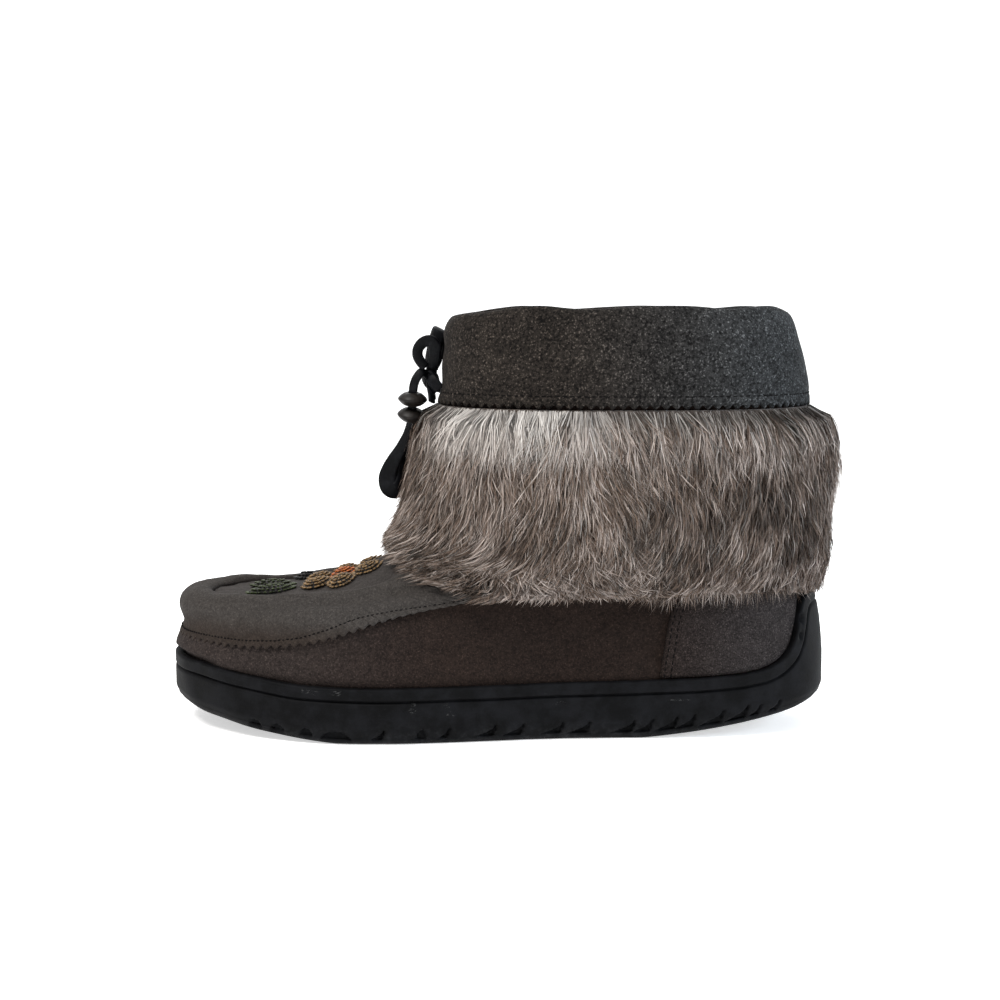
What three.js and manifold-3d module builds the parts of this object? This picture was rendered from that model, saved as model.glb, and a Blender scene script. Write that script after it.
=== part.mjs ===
// A short mukluk boot for the left foot, women's size about 38 to 39.
// Millimetres, +Z up, toe at -X, heel at +X, outer side at -Y, inner side at +Y.
// The origin is on the floor under the middle of the boot's box.
import * as THREE from 'three';
import { mergeVertices } from 'three/addons/utils/BufferGeometryUtils.js';
import Module from 'manifold-3d';

const wasm = await Module();
wasm.setup();

// Driving dimensions
const SOLE_LENGTH = 272;
const HEEL_X = 134.1;
const TOE_X = HEEL_X - SOLE_LENGTH;
const TOE_TIP_Y = 12;
const GAP = 0.3;
const WALL = 2.5;
const OVERLAY = 2.0;
const CUP_WALL = 3.6;
const CUP_FLOOR = 10.5;
const FOOTBED_THICKNESS = 4.5;

// Where the outsole leaves the floor, and how far each end lifts
const TOE_SPRING = { start: -66, reach: 72, lift: 8.6, power: 1.2 };
const HEEL_SPRING = { start: 56, reach: 78, lift: 11.5, power: 1.25 };

// Half widths of the outsole, by the share of its length from the heel
const OUTLINE = [
  { fromHeel: 0.03, outer: 22, inner: 20 },
  { fromHeel: 0.08, outer: 32, inner: 31 },
  { fromHeel: 0.16, outer: 38, inner: 36 },
  { fromHeel: 0.30, outer: 39.5, inner: 34 },
  { fromHeel: 0.42, outer: 41.5, inner: 31.5 },
  { fromHeel: 0.55, outer: 47, inner: 37 },
  { fromHeel: 0.65, outer: 50.5, inner: 44 },
  { fromHeel: 0.74, outer: 49.5, inner: 49 },
  { fromHeel: 0.83, outer: 43, inner: 49.5 },
  { fromHeel: 0.90, outer: 33, inner: 45 },
  { fromHeel: 0.96, outer: 18, inner: 34 },
  { fromHeel: 0.99, outer: 4, inner: 20 },
];

// Top edge of the outsole's rim, which climbs round the heel as a bumper
const RIM_TOP = [
  { x: -139, z: 28.6 },
  { x: -122, z: 27.8 },
  { x: -104, z: 25.8 },
  { x: -80, z: 23.2 },
  { x: -55, z: 22.5 },
  { x: 0, z: 22.7 },
  { x: 55, z: 23.5 },
  { x: 79, z: 24.6 },
  { x: 98, z: 26.3 },
  { x: 109, z: 29.5 },
  { x: 116.5, z: 36.5 },
  { x: 120.5, z: 46 },
  { x: 123.5, z: 53.2 },
  { x: 128.5, z: 56.2 },
  { x: 134.1, z: 57 },
];

// Rings of the upper, from the sole to the collar: the front and back of each ring,
// its heights, how far it lies inside the sole's outline, and how round it has become
const RING_COLUMNS = [
  'name', 'zFront', 'zSide', 'zBack', 'inFront', 'inBack', 'front', 'back', 'round', 'wide',
];
const RINGS = [
  ['feather', 0, 0, 0, 3.9, 3.9],
  ['welt', 27, 21.5, 25, 3.9, 3.9],
  ['wall', 34.5, 30, 31, 3.4, 4.1],
  ['bulge', 42.5, 37.5, 37.5, 3.6, 4.2, -132.6],
  ['shoulder', 48.6, 44.5, 44, 4.6, 4.2, -131.2],
  ['crown', 51.8, 49.4, 50, 7, 4.4, -125.5, null, 0.05, 44],
  ['plug 1', 52.2, 55, 55, 9.5, 5, -113, null, 0.15, 44],
  ['plug 2', 52.7, 60, 59.5, 11, 5.8, -98, null, 0.3, 44],
  ['plug 3', 54.4, 64.5, 63.5, 12, 6.8, -83, 125.6, 0.45, 44],
  ['instep 1', 58.2, 69, 68, 12, 7.4, -67.5, 125.2, 0.6, 44.5],
  ['instep 2', 62.9, 74.5, 73, 12, 8, -53, 125, 0.75, 45],
  ['throat', 70.5, 81, 79, 12, 8, -41.5, 125, 0.9, 45.5],
  ['shaft 1', 81, 90, 88, null, null, -34.5, 125.2, 1, 46],
  ['shaft 2', 109, 112, 111, null, null, -28.2, 125.7, 1, 47.3],
  ['shaft 3', 133, 134, 133.5, null, null, -24.2, 124.7, 1, 47.5],
  ['collar 1', 149, 150, 149.5, null, null, -22.4, 123, 1, 46],
  ['collar 2', 163, 165, 164, null, null, -20.4, 119.4, 1, 43.5],
].map((row) => Object.fromEntries(row.map((value, k) => [RING_COLUMNS[k], value])));
const LAST_RING = RINGS.length - 1;

// Stations along each side, as shares of the way from the toe to the heel
function spread(from, to, steps) {
  return Array.from({ length: steps }, (_, i) => from + (to - from) * i / steps);
}
const SIDE = [...spread(0, 0.3, 8), ...spread(0.3, 0.8, 6), ...spread(0.8, 1, 6), 1];
const STATIONS = [...SIDE, ...SIDE.slice(1, -1).reverse().map((h) => 2 - h)];

const clamp = (value, low, high) => Math.min(high, Math.max(low, value));
const mix = (a, b, t) => a + (b - a) * t;
function smooth(low, high, value) {
  const t = clamp((value - low) / (high - low), 0, 1);
  return t * t * (3 - 2 * t);
}
function tableAt(table, x, from, to) {
  if (x <= table[0][from]) return table[0][to];
  for (let i = 1; i < table.length; i += 1) {
    const a = table[i - 1];
    const b = table[i];
    if (x <= b[from]) return mix(a[to], b[to], (x - a[from]) / (b[from] - a[from]));
  }
  return table.at(-1)[to];
}

// A polyline that is read by the share of its own length
function ruler(points) {
  const reach = [0];
  for (let i = 1; i < points.length; i += 1) {
    reach.push(reach[i - 1] + points[i].distanceTo(points[i - 1]));
  }
  const total = reach.at(-1);
  return (share) => {
    const want = clamp(share, 0, 1) * total;
    let i = 1;
    while (i < reach.length - 1 && reach[i] < want) i += 1;
    const t = (want - reach[i - 1]) / (reach[i] - reach[i - 1]);
    return points[i - 1].clone().lerp(points[i], t);
  };
}

// The outsole's outline, one ruler for each side from the toe to the heel
function outlineSides() {
  const alongX = (row) => HEEL_X - row.fromHeel * SOLE_LENGTH;
  const inner = OUTLINE.map((row) => new THREE.Vector3(alongX(row), row.inner, 0));
  const outer = OUTLINE.map((row) => new THREE.Vector3(alongX(row), -row.outer, 0)).reverse();
  const toe = new THREE.Vector3(TOE_X, TOE_TIP_Y, 0);
  const heel = new THREE.Vector3(HEEL_X, 0, 0);
  const knots = [toe, ...outer, heel, ...inner];
  const curve = new THREE.CatmullRomCurve3(knots, true, 'centripetal');
  const heelShare = (outer.length + 1) / knots.length;
  const samples = 300;
  const walk = (from, to) => ruler(Array.from({ length: samples + 1 },
    (_, i) => curve.getPoint(mix(from, to, i / samples) % 1)));
  return { outer: walk(0, heelShare), inner: walk(1, heelShare) };
}
const SIDES = outlineSides();

// Around the boot: q runs 0 at the toe, 1 at the heel and back to the toe at 2
function outlineAt(q) {
  const turn = ((q % 2) + 2) % 2;
  return turn <= 1 ? SIDES.outer(turn) : SIDES.inner(2 - turn);
}
function outlineNormal(q) {
  const step = 0.01;
  const along = outlineAt(q + step).sub(outlineAt(q - step)).normalize();
  return new THREE.Vector3(along.y, -along.x, 0);
}

// The back of the boot leans forward as it rises
function lean(x, z) {
  const lift = Math.max(0, z - 25);
  return 0.0041 * Math.min(lift, 40) ** 2 * smooth(80, 125, x);
}
function planAt(q, z, inset) {
  const point = outlineAt(q).addScaledVector(outlineNormal(q), -inset);
  point.x -= lean(point.x, z);
  point.z = z;
  return point;
}

function bottomAt(x) {
  const toe = Math.max(0, (TOE_SPRING.start - x) / TOE_SPRING.reach);
  const heel = Math.max(0, (x - HEEL_SPRING.start) / HEEL_SPRING.reach);
  return TOE_SPRING.lift * toe ** TOE_SPRING.power + HEEL_SPRING.lift * heel ** HEEL_SPRING.power;
}
const floorAt = (x) => CUP_FLOOR + 0.8 * bottomAt(x);

// Solids from grids of points
function solidOf(points, faces) {
  const geometry = new THREE.BufferGeometry();
  const numbers = points.flatMap((p) => [p.x, p.y, p.z]);
  geometry.setAttribute('position', new THREE.Float32BufferAttribute(numbers, 3));
  geometry.setIndex(faces.flat());
  return geometry;
}
function quad(a, b, c, d) {
  return [[a, b, c], [a, c, d]];
}
// Rows of closed rings, joined in turn; the last row joins the first, or both ends are capped
function loft(rows, caps) {
  const n = rows[0].length;
  const points = rows.flat();
  const faces = [];
  const spans = caps ? rows.length - 1 : rows.length;
  for (let r = 0; r < spans; r += 1) {
    const next = (r + 1) % rows.length;
    for (let i = 0; i < n; i += 1) {
      const j = (i + 1) % n;
      faces.push(...quad(r * n + i, r * n + j, next * n + j, next * n + i));
    }
  }
  if (caps) {
    faces.push(...ladder(n, 0).map((f) => f.reverse()));
    faces.push(...ladder(n, (rows.length - 1) * n));
  }
  return solidOf(points, faces);
}
// A cap of rungs from the outer side to the inner side
function ladder(n, base) {
  const faces = [[base, base + 1, base + n - 1]];
  const half = n / 2;
  for (let i = 1; i < half - 1; i += 1) {
    faces.push(...quad(base + i, base + i + 1, base + n - i - 1, base + n - i));
  }
  faces.push([base + half - 1, base + half, base + half + 1]);
  return faces;
}

function signedVolume(geometry) {
  const p = geometry.attributes.position;
  const index = geometry.index;
  const [a, b, c] = [new THREE.Vector3(), new THREE.Vector3(), new THREE.Vector3()];
  let sum = 0;
  for (let i = 0; i < index.count; i += 3) {
    a.fromBufferAttribute(p, index.getX(i));
    b.fromBufferAttribute(p, index.getX(i + 1));
    c.fromBufferAttribute(p, index.getX(i + 2));
    sum += a.dot(b.cross(c)) / 6;
  }
  return sum;
}
function outward(geometry) {
  if (signedVolume(geometry) >= 0) return geometry;
  const index = Array.from(geometry.index.array);
  for (let i = 0; i < index.length; i += 3) [index[i + 1], index[i + 2]] = [index[i + 2], index[i + 1]];
  geometry.setIndex(index);
  return geometry;
}
function toManifold(source) {
  let geometry = source.clone();
  geometry.deleteAttribute('normal');
  geometry.deleteAttribute('uv');
  geometry = outward(mergeVertices(geometry, 1e-4));
  const vertProperties = new Float32Array(geometry.attributes.position.array);
  const triVerts = new Uint32Array(geometry.index.array);
  return new wasm.Manifold(new wasm.Mesh({ numProp: 3, vertProperties, triVerts }));
}
function fromManifold(solid) {
  const mesh = solid.getMesh();
  const geometry = new THREE.BufferGeometry();
  geometry.setAttribute('position', new THREE.BufferAttribute(new Float32Array(mesh.vertProperties), 3));
  geometry.setIndex(Array.from(mesh.triVerts));
  return geometry;
}
const unite = (solids) => solids.reduce((sum, solid) => sum.add(solid));

// The upper's own function: rings of points, with a normal for each
function ovalRuler(row, side) {
  const centre = (row.front + row.back) / 2;
  const reach = (row.back - row.front) / 2;
  const square = 2 / 2.25;
  return ruler(Array.from({ length: 91 }, (_, i) => {
    const angle = Math.PI * i / 90;
    const c = Math.cos(angle);
    const s = Math.sin(angle);
    const x = centre - reach * Math.sign(c) * Math.abs(c) ** square;
    return new THREE.Vector3(x, side * row.wide * Math.abs(s) ** square, 0);
  }));
}
function ringHeight(row, q) {
  const c = Math.cos(Math.PI * q);
  return row.zSide + Math.abs(c) * ((c > 0 ? row.zFront : row.zBack) - row.zSide);
}
function ringRow(row) {
  const natural = (q, z) => {
    const share = (1 + Math.cos(Math.PI * q)) / 2;
    return planAt(q, z, mix(row.inBack ?? 8, row.inFront ?? 12, share));
  };
  const toeX = natural(0, row.zFront).x;
  const heelX = natural(1, row.zBack).x;
  const front = row.front ?? toeX;
  const back = row.back ?? heelX;
  const whole = { ...row, front, back };
  const ovals = row.round ? { outer: ovalRuler(whole, -1), inner: ovalRuler(whole, 1) } : null;
  return STATIONS.map((q) => {
    const z = ringHeight(row, q);
    const point = natural(q, z);
    point.x = mix(back, front, (point.x - heelX) / (toeX - heelX));
    if (ovals) {
      const oval = q <= 1 ? ovals.outer(q) : ovals.inner(2 - q);
      point.lerp(oval, row.round);
    }
    point.z = row.name === 'feather' ? floorAt(point.x) + GAP : z;
    return point;
  });
}
const FORM = RINGS.map(ringRow);
const COUNT = STATIONS.length;
const NORMALS = FORM.map((ring, r) => ring.map((_, i) => {
  const around = ring[(i + 1) % COUNT].clone().sub(ring[(i + COUNT - 1) % COUNT]);
  const below = FORM[Math.max(0, r - 1)][i];
  const above = FORM[Math.min(LAST_RING, r + 1)][i];
  const normal = around.cross(above.clone().sub(below)).normalize();
  if (r === 0 || r === LAST_RING) normal.setZ(0).normalize();
  return normal;
}));

// A point of the form at station i, pushed out by off along the normal
function formPoint(r, i, off) {
  return FORM[r][i].clone().addScaledVector(NORMALS[r][i], off);
}
// The same at any share q around and any height z, on the form's own facets
function formAt(q, z, off) {
  const turn = ((q % 2) + 2) % 2;
  let i = 0;
  while (i < COUNT - 1 && STATIONS[i + 1] <= turn) i += 1;
  const j = (i + 1) % COUNT;
  const end = j === 0 ? 2 : STATIONS[j];
  const t = (turn - STATIONS[i]) / (end - STATIONS[i]);
  const heightAt = (r) => mix(FORM[r][i].z, FORM[r][j].z, t);
  let r = 0;
  while (r < LAST_RING - 1 && heightAt(r + 1) < z) r += 1;
  const s = (z - heightAt(r)) / (heightAt(r + 1) - heightAt(r));
  const low = FORM[r][i].clone().lerp(FORM[r][j], t);
  const high = FORM[r + 1][i].clone().lerp(FORM[r + 1][j], t);
  const nLow = NORMALS[r][i].clone().lerp(NORMALS[r][j], t);
  const nHigh = NORMALS[r + 1][i].clone().lerp(NORMALS[r + 1][j], t);
  return low.lerp(high, s).addScaledVector(nLow.lerp(nHigh, clamp(s, 0, 1)).normalize(), off);
}

// A patch of the form between two offsets, over some rings and stations
function patch(lowOff, highOff, rings, stations) {
  const n = stations.length;
  const layer = (off) => rings.flatMap((r) => stations.map((i) => formPoint(r, (i + COUNT) % COUNT, off)));
  const points = [...layer(lowOff), ...layer(highOff)];
  const size = rings.length * n;
  const faces = [];
  for (let r = 0; r < rings.length - 1; r += 1) {
    for (let i = 0; i < n - 1; i += 1) {
      const a = r * n + i;
      faces.push(...quad(size + a, size + a + 1, size + a + n + 1, size + a + n));
      faces.push(...quad(a, a + n, a + n + 1, a + 1));
    }
  }
  for (let i = 0; i < n - 1; i += 1) {
    const top = (rings.length - 1) * n + i;
    faces.push(...quad(i, i + 1, size + i + 1, size + i));
    faces.push(...quad(top + 1, top, size + top, size + top + 1));
  }
  for (let r = 0; r < rings.length - 1; r += 1) {
    const first = r * n;
    const last = r * n + n - 1;
    faces.push(...quad(first + n, first, size + first, size + first + n));
    faces.push(...quad(last, last + n, size + last + n, size + last));
  }
  return solidOf(points, faces);
}

// Outsole: a cup with a bumper up the heel, a groove below its rim, notches and lugs
function sideLength(side) {
  let sum = 0;
  for (let i = 1; i <= 200; i += 1) {
    const at = (k) => outlineAt(side > 0 ? 2 - k / 200 : k / 200);
    sum += at(i).distanceTo(at(i - 1));
  }
  return sum;
}
const SIDE_LENGTH = { outer: sideLength(-1), inner: sideLength(1) };

// One station of the rim: its edge in the unrolled side, and the way down from it
function rimStation(q) {
  const side = q <= 1 ? -1 : 1;
  const length = side < 0 ? SIDE_LENGTH.outer : SIDE_LENGTH.inner;
  const share = q <= 1 ? q : 2 - q;
  const edge = (h) => {
    const p = outlineAt(side < 0 ? h : 2 - h);
    return new THREE.Vector2(h * length, tableAt(RIM_TOP, p.x, 'x', 'z'));
  };
  const step = 0.012;
  const along = edge(Math.min(1, share + step)).sub(edge(Math.max(0, share - step))).normalize();
  return { side, length, at: edge(share), down: new THREE.Vector2(along.y, -along.x) };
}
// Rows across the rim: distance below its edge, and inset from the outline
const RIM_ROWS = [
  { below: 5.9, inset: 0.2 },
  { below: 5.2, inset: 1.4 },
  { below: 4.5, inset: -0.6 },
  { below: 2.4, inset: -0.9 },
  { below: 0.4, inset: -0.2 },
  { below: 0, inset: 0.9 },
  { below: 0, inset: CUP_WALL },
];

// A ring of the rim, pushed out by grow so that neighbours can be cut clear of it
function rimRing(row, grow) {
  const below = row.below < 1 ? row.below - grow : row.below;
  const inset = row.inset === CUP_WALL ? row.inset + grow : row.inset - grow;
  return STATIONS.map((q) => {
    const rim = rimStation(q);
    const along = clamp((rim.at.x + rim.down.x * below) / rim.length, 0, 1);
    const z = rim.at.y + rim.down.y * below;
    return planAt(rim.side < 0 ? along : 2 - along, z, inset);
  });
}
function lowRing(inset, lift) {
  return STATIONS.map((q) => {
    const rim = outlineAt(q);
    const ends = 1 + 0.5 * (smooth(60, 125, rim.x) + smooth(-60, -130, rim.x));
    const point = planAt(q, 0, inset * ends);
    point.z = bottomAt(point.x) + lift * ends;
    return point;
  });
}
// Rings of the plain wall, outside between the bottom and the groove, inside down to the floor
function wallRing(share) {
  return STATIONS.map((q) => {
    const low = bottomAt(outlineAt(q).x) + 6;
    return planAt(q, mix(low, rimStation(q).at.y - 6, share), 0);
  });
}
function cupRing(share, inset) {
  return STATIONS.map((q) => {
    const low = floorAt(outlineAt(q).x);
    return planAt(q, mix(rimStation(q).at.y, low, share), inset);
  });
}
function cupBody(grow) {
  const rows = [lowRing(4, 0), lowRing(0.7, 2.6), wallRing(0.3), wallRing(0.7)];
  rows.push(...RIM_ROWS.map((row) => rimRing(row, grow)));
  rows.push(cupRing(0.35, CUP_WALL + grow), cupRing(0.7, CUP_WALL + grow));
  rows.push(STATIONS.map((q) => {
    const point = planAt(q, 0, CUP_WALL + grow);
    point.z = floorAt(point.x);
    return point;
  }));
  return toManifold(loft(rows, true));
}

// Notches run along the bottom edge of both sides, and chevron grooves cross the tread
const NOTCH = { pitch: 11.9, first: -100, last: 116, width: 3.2, wide: 7, depth: 11, height: 10, slant: 0.6 };
const GROOVE = { pitch: 17, first: -110, last: 110, width: 3.2, length: 25, height: 5, angle: 0.45 };
const WAIST = { x: 12, reach: 24 };

function box(width, depth, height, at, turn, tilt) {
  const matrix = new THREE.Matrix4().makeRotationZ(turn);
  matrix.multiply(new THREE.Matrix4().makeRotationY(tilt)).setPosition(at);
  return new THREE.BoxGeometry(width, depth, height).applyMatrix4(matrix);
}
function shareAtX(x, side) {
  let low = 0;
  let high = 1;
  while (high - low > 1e-4) {
    const middle = (low + high) / 2;
    if (outlineAt(side < 0 ? middle : 2 - middle).x < x) low = middle;
    else high = middle;
  }
  return side < 0 ? low : 2 - low;
}
function sideNotches() {
  const cuts = [];
  for (let x = NOTCH.first; x < NOTCH.last; x += NOTCH.pitch) {
    for (const side of [-1, 1]) {
      const q = shareAtX(x, side);
      const at = outlineAt(q);
      at.z = bottomAt(at.x) + 2;
      const normal = outlineNormal(q);
      const turn = Math.atan2(normal.y, normal.x) + Math.PI / 2;
      const tilt = x > -20 ? -side * NOTCH.slant : 0;
      const width = Math.abs(x + 64) < NOTCH.pitch / 2 ? NOTCH.wide : NOTCH.width;
      cuts.push(box(width, NOTCH.depth, NOTCH.height, at, turn, -tilt));
    }
  }
  return cuts;
}
function chevrons() {
  const cuts = [];
  for (let x = GROOVE.first; x < GROOVE.last; x += GROOVE.pitch) {
    if (Math.abs(x - WAIST.x) < WAIST.reach) continue;
    for (const side of [-1, 1]) {
      const middle = TOE_TIP_Y * smooth(-40, -120, x);
      const at = new THREE.Vector3(x + 4, middle + side * 12, bottomAt(x));
      cuts.push(box(GROOVE.width, GROOVE.length, GROOVE.height, at, side * GROOVE.angle, 0));
    }
  }
  return cuts;
}
function outsole() {
  return fromManifold(cupBody(0).subtract(unite([...sideNotches(), ...chevrons()].map(toManifold))));
}

// Upper: one hollow shell, open at the collar and underneath; its lining skips some rings
const UNLINED = ['wall', 'plug 1', 'plug 3', 'instep 2', 'shaft 2'];
function upper() {
  const rings = FORM.map((_, r) => r);
  const rows = rings.map((r) => STATIONS.map((_, i) => formPoint(r, i, 0)));
  const lined = rings.filter((r) => !UNLINED.includes(RINGS[r].name));
  const inner = lined.map((r) => STATIONS.map((_, i) => formPoint(r, i, -WALL)));
  return outward(loft([...rows, ...inner.reverse()], false));
}

const FOOTBED = { inset: 3.9 + WALL + 0.5, bevel: 0.4 };
function footbed() {
  const ring = (lift, extra) => STATIONS.map((q) => {
    const point = planAt(q, 0, FOOTBED.inset + extra);
    point.z = floorAt(point.x) + lift;
    return point;
  });
  return outward(loft([ring(GAP, FOOTBED.bevel), ring(FOOTBED_THICKNESS, 0)], true));
}

// Plan outlines as closed upright solids
function upright(points, low, high) {
  const ring = (z) => points.map((p) => new THREE.Vector3(p.x, p.y, z));
  const n = points.length;
  const centres = [new THREE.Vector3(0, 0, low), new THREE.Vector3(0, 0, high)];
  for (const p of points) centres.forEach((c) => c.add(new THREE.Vector3(p.x / n, p.y / n, 0)));
  const faces = [];
  for (let i = 0; i < n; i += 1) {
    const j = (i + 1) % n;
    faces.push(...quad(i, j, n + j, n + i), [j, i, 2 * n], [n + i, n + j, 2 * n + 1]);
  }
  return toManifold(solidOf([...ring(low), ...ring(high), ...centres], faces));
}

// Everything ahead of a plane across the boot, as a block to cut with
const BLOCK = 300;
function aheadOf(x) {
  return toManifold(box(BLOCK, BLOCK, BLOCK, new THREE.Vector3(x - BLOCK / 2, 0, 0), 0, 0));
}

// The plug's outline on top of the toe
const PLUG = [
  { x: -117, outer: 11, inner: 19 },
  { x: -109, outer: 19, inner: 28 },
  { x: -96, outer: 26, inner: 33 },
  { x: -80, outer: 30, inner: 34 },
  { x: -62, outer: 30, inner: 31 },
  { x: -38, outer: 27, inner: 27 },
];
const PLUG_FRONT = { x: -121, y: 4 };
const PLUG_THICKNESS = 1.2;
const ROLL = { width: 5.5, height: 3.8, back: -53 };
function plugOutline(grow) {
  const outer = PLUG.map((row) => new THREE.Vector3(row.x, -row.outer, 0));
  const inner = PLUG.map((row) => new THREE.Vector3(row.x, row.inner, 0)).reverse();
  const knots = [new THREE.Vector3(PLUG_FRONT.x, PLUG_FRONT.y, 0), ...outer, ...inner];
  const curve = new THREE.CatmullRomCurve3(knots, true, 'centripetal');
  const count = 22;
  return Array.from({ length: count }, (_, i) => {
    const point = curve.getPoint(i / count);
    const along = curve.getTangent(i / count);
    return point.addScaledVector(new THREE.Vector3(along.y, -along.x, 0), grow);
  });
}
const PRISM = { low: 30, high: 90 };
const plugPrism = (grow) => upright(plugOutline(grow), PRISM.low, PRISM.high);

// A curtain round the boot below an edge line, to be cut away
const CURTAIN = { out: 12, in: 14, low: 5 };
function curtain(edgeAt) {
  const row = (off, zOf) => STATIONS.map((q) => {
    const point = outlineAt(q).addScaledVector(outlineNormal(q), off);
    point.z = zOf(q);
    return point;
  });
  const flat = () => CURTAIN.low;
  return toManifold(loft([
    row(CURTAIN.out, flat), row(CURTAIN.out, edgeAt), row(-CURTAIN.in, edgeAt), row(-CURTAIN.in, flat),
  ], false));
}
// Lower edge of the vamp wrap, seen from the side
const WRAP_EDGE = [
  { x: -136, z: 36.2 },
  { x: -104, z: 36.5 },
  { x: -91, z: 37.5 },
  { x: -79, z: 39.4 },
  { x: -67, z: 42.6 },
  { x: -44, z: 50.3 },
  { x: -22, z: 57.2 },
  { x: 0, z: 64 },
];
const WRAP_REACH = 10;
const WRAP_BACK = -18;
function vampWrap() {
  const stations = Array.from({ length: 2 * WRAP_REACH + 1 }, (_, i) => i - WRAP_REACH);
  const edge = (q) => tableAt(WRAP_EDGE, outlineAt(q).x, 'x', 'z');
  const sheet = toManifold(patch(GAP, GAP + OVERLAY, range(2, 11), stations));
  const body = sheet.subtract(curtain(edge)).subtract(plugPrism(0));
  const rim = toManifold(patch(GAP, GAP + ROLL.height, range(4, 10), range(-8, 9)));
  const roll = rim.intersect(plugPrism(ROLL.width).subtract(plugPrism(0))).intersect(aheadOf(ROLL.back));
  return fromManifold(body.intersect(aheadOf(WRAP_BACK)).add(roll));
}
function range(from, to) {
  return Array.from({ length: to - from }, (_, i) => from + i);
}
function toePlug() {
  const sheet = toManifold(patch(GAP, GAP + PLUG_THICKNESS, range(5, 12), range(-8, 9)));
  return fromManifold(sheet.intersect(plugPrism(-GAP)));
}

// Heel counter: an overlay behind a step edge, clear of the outsole's rim
const COUNTER_FRONT = 66.5;
const COUNTER_THICKNESS = 1.3;
function heelCounter() {
  const first = STATIONS.findIndex((q) => outlineAt(q).x > COUNTER_FRONT - 12);
  const sheet = toManifold(patch(GAP, GAP + COUNTER_THICKNESS, range(1, 8), range(first, COUNT - first + 1)));
  return fromManifold(sheet.subtract(cupBody(GAP)).subtract(aheadOf(COUNTER_FRONT)));
}

// Folded collar: a band over the shaft's top edge, with a soft roll
const COLLAR = { hem: 132.3, middle: 150, thickness: 3, roll: 4.4, inside: 5.4, clear: GAP + 0.1 };
const COLLAR_CREST = [
  { x: -22, z: 168.6 },
  { x: -8, z: 170 },
  { x: 4, z: 171.9 },
  { x: 38, z: 170.6 },
  { x: 69, z: 171.9 },
  { x: 86, z: 170.7 },
  { x: 118, z: 171.2 },
];
function collarCuff() {
  const top = (q) => ringHeight(RINGS[LAST_RING], q);
  const crest = (q) => tableAt(COLLAR_CREST, outlineAt(q).x * 0.52 + 48, 'x', 'z');
  const ring = (zOf, off) => STATIONS.map((q) => formAt(q, zOf(q), off));
  const at = (z) => () => z;
  const rows = [
    ring(at(COLLAR.hem), COLLAR.clear), ring(at(COLLAR.hem), 0.8 * COLLAR.thickness),
    ring((q) => top(q) - 1, COLLAR.thickness), ring((q) => crest(q) - 1.6, 1.8), ring(crest, -1.4),
    ring((q) => crest(q) - 2.2, -COLLAR.roll), ring(at(COLLAR.middle), -COLLAR.inside),
    ring(at(COLLAR.middle), -WALL - COLLAR.clear), ring((q) => top(q) + 0.5, -WALL - COLLAR.clear),
    ring((q) => top(q) + 0.5, COLLAR.clear), ring(at(COLLAR.middle), COLLAR.clear),
  ];
  return outward(loft(rows, false));
}

// Fur cuff: a deep band with locks that hang over each other and over its hem
const FUR = {
  top: 131.5, full: 104, tuck: 3, depth: 10, frontLess: 1.8, backExtra: 1.6, locks: 27,
  pelt: 3.2, peltLow: 86, peltHigh: 110,
};
const frontness = (q) => smooth(0.3, 0.05, q <= 1 ? q : 2 - q);
function furDepth(q) {
  return FUR.depth - FUR.frontLess * frontness(q) + FUR.backExtra * smooth(0.55, 0.95, q <= 1 ? q : 2 - q);
}
const FUR_HEM = [
  { x: -48, z: 65.5 },
  { x: -36, z: 62 },
  { x: -20, z: 59.3 },
  { x: 38, z: 58.5 },
  { x: 70, z: 57.5 },
  { x: 90, z: 59 },
  { x: 112, z: 60.3 },
];
function furCuff() {
  const hem = (q) => tableAt(FUR_HEM, formAt(q, 62, 0).x, 'x', 'z');
  const ring = (zOf, off) => STATIONS.map((q) => formAt(q, zOf(q), off));
  const skin = (zOf, less, frontLess = 0) => STATIONS.map((q) => (
    formAt(q, zOf(q), furDepth(q) - less - frontLess * frontness(q))));
  const at = (z) => () => z;
  const rows = [
    ring(at(FUR.top), GAP + 0.1), ring(at(FUR.top), FUR.tuck),
    skin((q) => FUR.top - 9 - 4 * frontness(q), 1.5), skin(at(FUR.full), 0),
    skin((q) => mix(hem(q), FUR.full, 0.4), 0), skin((q) => hem(q) + 3, 0.5, 1.5),
    skin(hem, 4, 1), ring((q) => hem(q) + 2, FUR.pelt), ring(at(FUR.peltLow), FUR.pelt),
    ring(at(FUR.peltHigh), GAP + 0.1),
  ];
  const locks = [];
  const tiers = [
    { z: (q) => hem(q) + 6.5, length: 11 },
    { z: (q) => mix(hem(q), FUR.top, 0.5), length: 20 },
  ];
  tiers.forEach((tier, t) => {
    for (let i = 0; i < FUR.locks; i += 1) {
      const q = 2 * (i + (t % 2) / 2) / FUR.locks;
      locks.push(lock(q, tier.z(q), tier.length, 0.9 / FUR.locks));
    }
  });
  return fromManifold(toManifold(loft(rows, false)).add(unite(locks.map(toManifold))));
}
// One lock: a wedge that leaves the band at its root and ends in a free tip
function lock(q, z, length, half) {
  const root = z + length * 0.45;
  const depth = furDepth(q % 2);
  const points = [
    formAt(q - half, root, depth - 2.5), formAt(q + half, root, depth - 2.5),
    formAt(q, z - length * 0.1, depth - 5), formAt(q, z, depth + 1.5),
    formAt(q + half * 0.5, z - length * 0.55, depth + 0.2),
  ];
  const faces = [[0, 1, 2], [0, 3, 1], [0, 4, 3], [1, 3, 4], [0, 2, 4], [1, 4, 2]];
  return solidOf(points, faces);
}

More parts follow.
